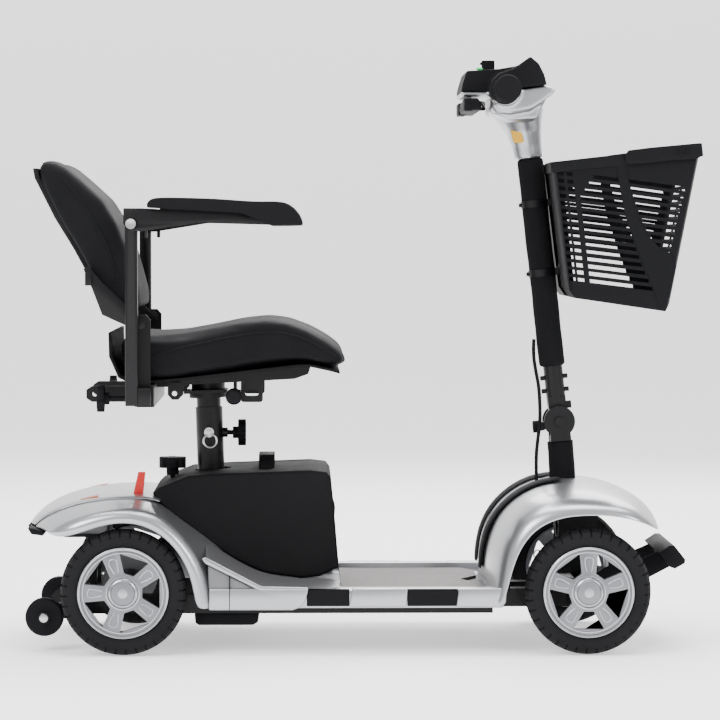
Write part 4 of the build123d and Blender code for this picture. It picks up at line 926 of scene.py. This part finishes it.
# armrests
padOutline = [(-353, 719.8), (-353.5, 722), (-353.8, 727), (-348, 733.5), (-338, 736.3), (-300, 736),
    (-246, 734.5), (-201, 731), (-175, 729.5), (-145, 730.5), (-129, 727.5), (-117, 719), (-108, 707),
    (-104.5, 696), (-104.8, 692.8), (-107, 692.3), (-155, 691.6), (-159, 692), (-161, 695), (-165, 706),
    (-168, 709.3), (-172, 710), (-246, 714.5), (-300, 717.2), (-350, 719.7)]
for sideName, side in sides.items():
    tag = sideName.title()
    middle = (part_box(f"armrest_pad_{sideName}")[0].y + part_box(f"armrest_pad_{sideName}")[1].y) / 2 / mm
    stations = [(middle + y, size) for y, size in ((-24.8, 0.955), (-23.6, 0.985), (-19, 1), (0, 1.003),
        (19, 1), (23.6, 0.985), (24.8, 0.955))]
    pad = loft(f"armPad{tag}", padOutline, stations, levels=2)
    smooth(pad, 60)
    dress(pad, "padRubber", f"armrest_{sideName}")
    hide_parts(f"armrest_pad_{sideName}")
    for node, body, width in ((f"armrest_bracket_{sideName}", f"armrest_{sideName}", 0.0012),
            (f"armrest_post_{sideName}", f"arm_slide_{sideName}", 0.0015)):
        made = softened(node, node.title().replace("_", ""), width, 2)
        dress(made, "blackPaint", body)
    bpy.ops.mesh.primitive_cylinder_add(vertices=24, radius=8.4 * mm, depth=3 * mm, rotation=(math.pi / 2, 0,
        0), location=(-0.379, (middle * mm) + side * 19.4 * mm, 0.694))
    bolt = begin(f"armPivotBolt{tag}")
    settle(bolt)
    pickFaces(bolt, lambda face: face.normal.y * side > 0.9)
    bpy.ops.mesh.inset(thickness=3.4 * mm, depth=-1.2 * mm)
    leaveEdit()
    ease(bolt, 0.6)
    dress(bolt, "steel", f"arm_slide_{sideName}")
print("armrests done")

# sleeves on the tiller and the column
def sleeve(name, place, bottom, top, body, replaced):
    rows = []
    for step in range(41):
        height = bottom + (top - bottom) * step / 40
        row = []
        for turn in range(33):
            angle = 2 * math.pi * (turn % 32) / 32
            fold = 0.5 * math.sin(3 * angle + height * 0.035) + 0.35 * math.sin(height * 0.11 + 2 * angle)
            hem = 0.8 if step in (0, 1, 39, 40) else 0
            radius = 21.3 + fold * 0.7 + hem * 0.3 + (0.9 if 15 <= turn % 32 <= 17 else 0)
            row.append((radius * math.cos(angle), radius * math.sin(angle), height))
        rows.append(row)
    piece = closeRows(name, rows, 1)
    moveMesh(piece, place)
    smooth(piece, 60)
    dress(piece, "cloth", body)
    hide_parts(replaced)


sleeve("tillerSleeveCloth", tillerPlace, 91, 444, "tiller", "tiller_sleeve")
columnOffset = columnPlace @ Matrix.Translation((0, 0, -0.265))
sleeve("columnSleeveCloth", columnOffset, 160, 232, "column", "column_sleeve")

# console
def rod(name, radius, start, stop):
    # a round bar between two points, in millimetres
    a, b = spot(*start), spot(*stop)
    bpy.ops.mesh.primitive_cylinder_add(vertices=40, radius=radius * mm, depth=(b - a).length)
    piece = begin(name)
    moveMesh(piece, Matrix.Translation((a + b) / 2) @ (b - a).to_track_quat("Z", "Y").to_matrix().to_4x4())
    return piece


upper = [slab("consoleUpper", [(156, 912), (158, 924), (165, 946), (219, 949.5), (245, 954), (262, 960),
    (277, 950), (287, 936), (292, 921), (206, 912)], -92, 92)]
for side in (-1, 1):
    upper.append(slab("consoleWing", [(202, 912), (205, 930), (216, 940), (238, 947), (266, 967), (280, 955),
        (289, 937), (293, 921), (250, 916), (222, 911)], side * 88, side * 148))
    upper.append(rod("gripBoss", 24.5, (225, side * 100, 913), (225, side * 149, 913)))
shell = melt(join("consoleUpperShell", upper), 0.0022, 6)
dress(shell, "blackSatin", "tiller")
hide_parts("console_top")
lower = [slab("consoleLower", [(206, 911), (204, 880), (207, 876), (222, 873), (234, 866), (282, 868),
    (290, 886), (301, 906), (308, 913), (292, 920), (253, 914)], -70, 70), slab("consoleShelf",
    [(156, 912), (157, 905), (206, 903), (206, 912)], -90, 90)]
for side in (-1, 1):
    lower.append(slab("consoleLowerWing", [(208, 911), (208, 889), (215, 880), (236, 876), (268, 882),
        (290, 896), (303, 906), (309, 913), (292, 920), (253, 914)], side * 60, side * 140))
    lower.append(rod("gripCup", 24, (226.5, side * 62, 911), (226.5, side * 146, 911)))
neckRings = [(273.5, 804, 23, 23.5), (270, 826, 24.5, 25.5), (265, 848, 29, 31), (258, 868, 37, 46),
    (254, 884, 44, 62)]
rows = [[(x + wide * math.cos(turn), deep * math.sin(turn), z + 0.11 * wide * math.cos(turn))
    for turn in [2 * math.pi * step / 36 for step in range(36)] + [0]] for x, z, wide, deep in neckRings]
lower.append(closeRows("consoleNeck", rows, 0))
shell = melt(join("consoleLowerShell", lower), 0.0024, 14)
dress(shell, "silver", "tiller")
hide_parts("console_base")
paddle = [slab("paddleBar", [(162, 880), (160, 886), (161, 898.5), (180, 899.5), (187, 892), (187, 880)],
    -139, 139), slab("paddleArm", [(182, 884), (182, 890), (200.5, 890), (200.5, 884)], -8, 8)]
for side in (-1, 1):
    paddle.append(slab("paddleBlade", [(158.5, 878.5), (158.5, 899), (172, 899.5), (172, 878.5)], side * 64,
        side * 140))
paddle = join("throttlePaddle", paddle)
ease(paddle, 1.8)
dress(paddle, "blackSatin", "paddle")
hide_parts("throttle_paddle")
for side in (-1, 1):
    tag = "Right" if side < 0 else "Left"
    grip = rod(f"handGrip{tag}", 21.3, (225, side * 152, 912), (225, side * 231, 912))
    pickFaces(grip, lambda face: abs(face.normal.y) > 0.9)
    bpy.ops.mesh.inset(thickness=3 * mm, depth=0)
    leaveEdit()
    roundEdges(grip, 2.5 * mm, 3)
    rings = [ringOf("gripRib", [(21, y), (22.1, y + 1), (22.1, y + 2.6), (21, y + 3.6)], 40)
        for y in range(160, 226, 9)]
    for ring in rings:
        moveMesh(ring, Matrix.Translation(spot(225, 0, 912)) @ Matrix.Scale(side, 4, (0, 1, 0)))
        if side < 0:
            ring.data.flip_normals()
    grip = join(f"handGrip{tag}", [grip] + rings)
    smooth(grip, 40)
    dress(grip, "padRubber", "tiller")
    if side < 0:
        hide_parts("hand_grips")
    rows = [[(x + lean, side * (y + 3.4), z) for x, y in ((243, 21.5), (249, 24.2), (255, 26.2), (261, 27.4))]
            for z, lean in ((853, -3), (845, -1), (837, 1), (829, 3))]
    sticker = skin(f"plainSticker{tag}", rows, 1.2, (0, side, 0), levels=1)
    dress(sticker, "yellow", "tiller")
bpy.ops.mesh.primitive_uv_sphere_add(segments=24, ring_count=12, radius=5 * mm, location=(0.189, -0.028,
    0.9525), scale=(1.2, 1, 0.5))
lamp = begin("powerLight")
settle(lamp)
smooth(lamp)
green = Finish("greenLamp")
green.set(colour=green.blend(green.noise(80, 2), (0.01, 0.25, 0.06), (0.02, 0.45, 0.12)), roughness=0.3,
    glow=(0.02, 0.6, 0.16, 1), glowStrength=0.6)
finishes["greenLamp"] = green.material
dress(lamp, "greenLamp", "tiller")
print("console done")

# basket
basketSizes = {"half": 165, "wall": 2.6, "corner": 26, "rows": 15, "pitch": 12.4, "slot": 6.6, "slope": -0.23}
basketOutline = [(24.5, 429), (27, 224), (36.5, 206), (186, 168), (196, 181), (274, 412), (277, 429)]
basket = slab("basketShell", basketOutline, -basketSizes["half"], basketSizes["half"])
pickFaces(basket, lambda face: face.normal.z > 0.9 and face.center.z > 0.4)
bpy.ops.mesh.delete(type="FACE")
leaveEdit()
pickEdges(basket, lambda a, b: abs(a.y - b.y) < 1e-6 and abs(a.z - b.z) > 0.1)
bpy.ops.mesh.bevel(offset=basketSizes["corner"] * mm, segments=5)
leaveEdit()
modify(basket, "SOLIDIFY", thickness=basketSizes["wall"] * mm, offset=-1)


def bulge(piece):
    # the front curves back towards both sides
    for vertex in piece.data.vertices:
        reach = max(0.0, (vertex.co.x - 0.13) / 0.147)
        vertex.co.x -= 0.0135 * reach * min(1.2, (vertex.co.y / 0.165) ** 2)


def bandLeft(z):
    # rear edge of the solid band, sweeping forward as it goes down
    down = (429 - z) / 222
    return 129 + 1.5 * math.sin(down * 3) + 42 * down ** 2.6


def bandRight(z):
    down = (429 - z) / 155
    return 143.5 + 42 * max(0.0, down) ** 2.4


cutters = []
for row in range(basketSizes["rows"]):
    rearZ = 405 - basketSizes["pitch"] * row
    bandZ = rearZ + basketSizes["slope"] * 70
    for start, stop in ((31, 41), (45, 55), (max(64, 88 - 8 * row), bandLeft(bandZ))):
        cutters.append((start, stop, rearZ))
    frontZ = rearZ + basketSizes["slope"] * 110
    start = bandRight(frontZ)
    stop = 196 + (frontZ - 181) * 81 / 231 - 22
    if stop - start > 8 and row < 10:
        cutters.append((start, stop, rearZ))
blocks = []
for start, stop, level in cutters:
    low, high = (level + basketSizes["slope"] * (place - 60) for place in (start, stop))
    deep = basketSizes["half"] + 4  # past both sides
    blocks.append(slab("slotCutter", [(start, low - basketSizes["slot"] / 2),
        (start, low + basketSizes["slot"] / 2), (stop, high + basketSizes["slot"] / 2),
        (stop, high - basketSizes["slot"] / 2)], -deep, deep))
for row in range(16):
    level = 396 - 12.4 * row
    for start, stop in ((-132, -72), (-64, -4), (4, 64), (72, 132)):
        bpy.ops.mesh.primitive_cube_add(size=1)
        cutter = begin("slotCutter")
        for vertex in cutter.data.vertices:
            vertex.co = spot(245 + vertex.co.x * 110, (start + stop) / 2 + vertex.co.y * (stop - start),
                level + vertex.co.z * basketSizes["slot"])
        blocks.append(cutter)
blocks.append(slab("recessCutter", [(8, 190), (8, 440), (44, 440), (44, 190)], -36, 36))
slotTool = join("slotCutters", blocks)
workOn(basket)
cut = basket.modifiers.new("Slots", "BOOLEAN")
cut.operation = "DIFFERENCE"
cut.solver = "EXACT"
cut.use_self = True
cut.object = slotTool
bpy.ops.object.modifier_apply(modifier=cut.name)
bpy.data.objects.remove(slotTool)
band = basketSizes["half"] + 1.5
for side in (-1, 1):
    lip = slab("basketRim", [(22, 413), (22, 430), (277, 430), (271, 411)], side * (basketSizes["half"] - 3),
        side * band)
    basket = join("basketShell", [basket, lip])
    flap = slab("basketBand", [(127, 412), (129, 370), (133, 330), (141, 300), (152, 262), (168, 214),
        (176, 176), (196, 190), (214, 240), (206, 262), (190, 270), (170, 292), (156, 322), (148, 356),
        (144, 412)], side * (basketSizes["half"] - 1), side * (basketSizes["half"] + 1.4))
    basket = join("basketShell", [basket, flap])
for x, near, far in ((24, -band + 4, -38), (24, 38, band - 4), (274, -band + 4, band - 4)):
    edge = slab("basketRim", [(x - 3, 413), (x - 3, 430), (x + 2, 430), (x + 2, 413)], near, far)
    basket = join("basketShell", [basket, edge])
hanger = [slab("basketHanger", [(29, low), (29, low + 18), (45, low + 18), (45, low)], -8, 8) for low in (244,
    360)]
hanger.append(slab("basketRecess", [(44, 205), (44, 429), (46.5, 429), (46.5, 203)], -38, 38))
for side in (-1, 1):
    hanger.append(slab("basketRecess", [(25, 420), (27, 224), (36.5, 206), (46, 204), (46, 429), (25, 429)],
        side * 36, side * 38.5))
basket = join("basketShell", [basket] + hanger)
roundEdges(basket, 0.5 * mm, 1, 50)
bulge(basket)
moveMesh(basket, tillerPlace)
smooth(basket, 35)
dress(basket, "blackSatin", "basket")
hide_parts("basket")
bailParts = [slab("bailSide", [(143, 418), (144, 429), (151, 435), (191, 435.5), (281, 434), (281.5, 413),
    (272, 409), (218, 411.5), (174, 411), (148, 412.5)], side * 167.2, side * 174) for side in (-1, 1)]
bailParts.append(slab("bailFront", [(278.5, 413), (278.5, 434), (282.5, 433.5), (282.5, 413)], -173, 173))
for side in (-1, 1):
    for place in range(236, 262, 6):
        bailParts.append(slab("bailRib", [(place, 417), (place, 429), (place + 2.5, 429), (place + 2.5, 417)],
            side * 173, side * 175))
bail = join("basketBail", bailParts)
pickEdges(bail, lambda a, b: a.x > 0.27 and b.x > 0.27)
bpy.ops.mesh.subdivide(number_cuts=9)
leaveEdit()
roundEdges(bail, 1.2 * mm, 2)
bulge(bail)
moveMesh(bail, tillerPlace)
smooth(bail, 40)
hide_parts("basket_handle")
dress(bail, "blackSatin", "bail")
print("basket done")

# small parts with their edges eased
for node, body, finish, slot, width in (
        ("hinge_lock_knob", "hinge_knob", "blackSatin", None, 0.0008),
        ("seat_clamp_knob", "post_knob", "blackSatin", None, 0.0014),
        ("frame_lock_knob", "box_knob", "blackSatin", None, 0.0014),
        ("armrest_knob_right", "arm_knob_right", "blackSatin", None, 0.0014),
        ("armrest_knob_left", "arm_knob_left", "blackSatin", None, 0.0014),
        ("freewheel_lever", "freewheel", "red", None, 0.001),
        ("front_bumper", "chassis", "blackSatin", "soft_pad", 0.002),
        ("seat_shell", "seat", "blackGrain", None, 0.0008),
        ("back_frame", "back", "blackPaint", None, 0.0008)):
    made = softened(node, node.title().replace("_", ""), width, 2)
    dress(made, finish, body)
for sideName, side in sides.items():
    low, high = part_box(f"anti_tip_wheel_{sideName}")
    middle = (low + high) / 2
    bolt = rod(f"tipWheelBolt{sideName.title()}", 7, (middle.x / mm, side * 182, middle.z / mm),
        (middle.x / mm, side * 196, middle.z / mm))
    ease(bolt, 1)
    dress(bolt, "steel")
print("small parts done")

# the CAD nodes' own materials, right and left alike
cadFinishes = {
    "blackPaint": ["main_frame", "front_axle_beam", "steering_column", "tiller_tube", "seat_frame",
        "seat_post", "back_frame", "armrest_post", "armrest_bracket"],
    "blackSatin": ["front_bumper", "hinge_lock_knob", "throttle_paddle", "speed_dial", "seat_clamp_knob",
        "frame_lock_knob", "swivel_lever", "console_top", "basket", "basket_handle", "armrest_knob",
        "anti_tip_wheel"],
    "blackGrain": ["seat_shell", "battery_box"], "silver": ["floor_pan", "console_base"], "mat": ["deck_mat"],
    "castMetal": ["drive_motor", "transaxle", "motor_controller"], "batteryCase": ["battery_cells"],
    "padRubber": ["hand_grips", "armrest_pad"], "steel": ["seat_post_pin", "steering_knuckle", "tie_rod"],
    "red": ["freewheel_lever"], "leather": ["seat_cushion", "back_cushion"],
    "cloth": ["tiller_sleeve", "column_sleeve"],
}
for finish, names in cadFinishes.items():
    for name in names:
        for node in (name, f"{name}_right", f"{name}_left"):
            held = frame["nodes"].get(node)
            if held:
                held.data.materials.clear()
                held.data.materials.append(finishes[finish])
low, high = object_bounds()
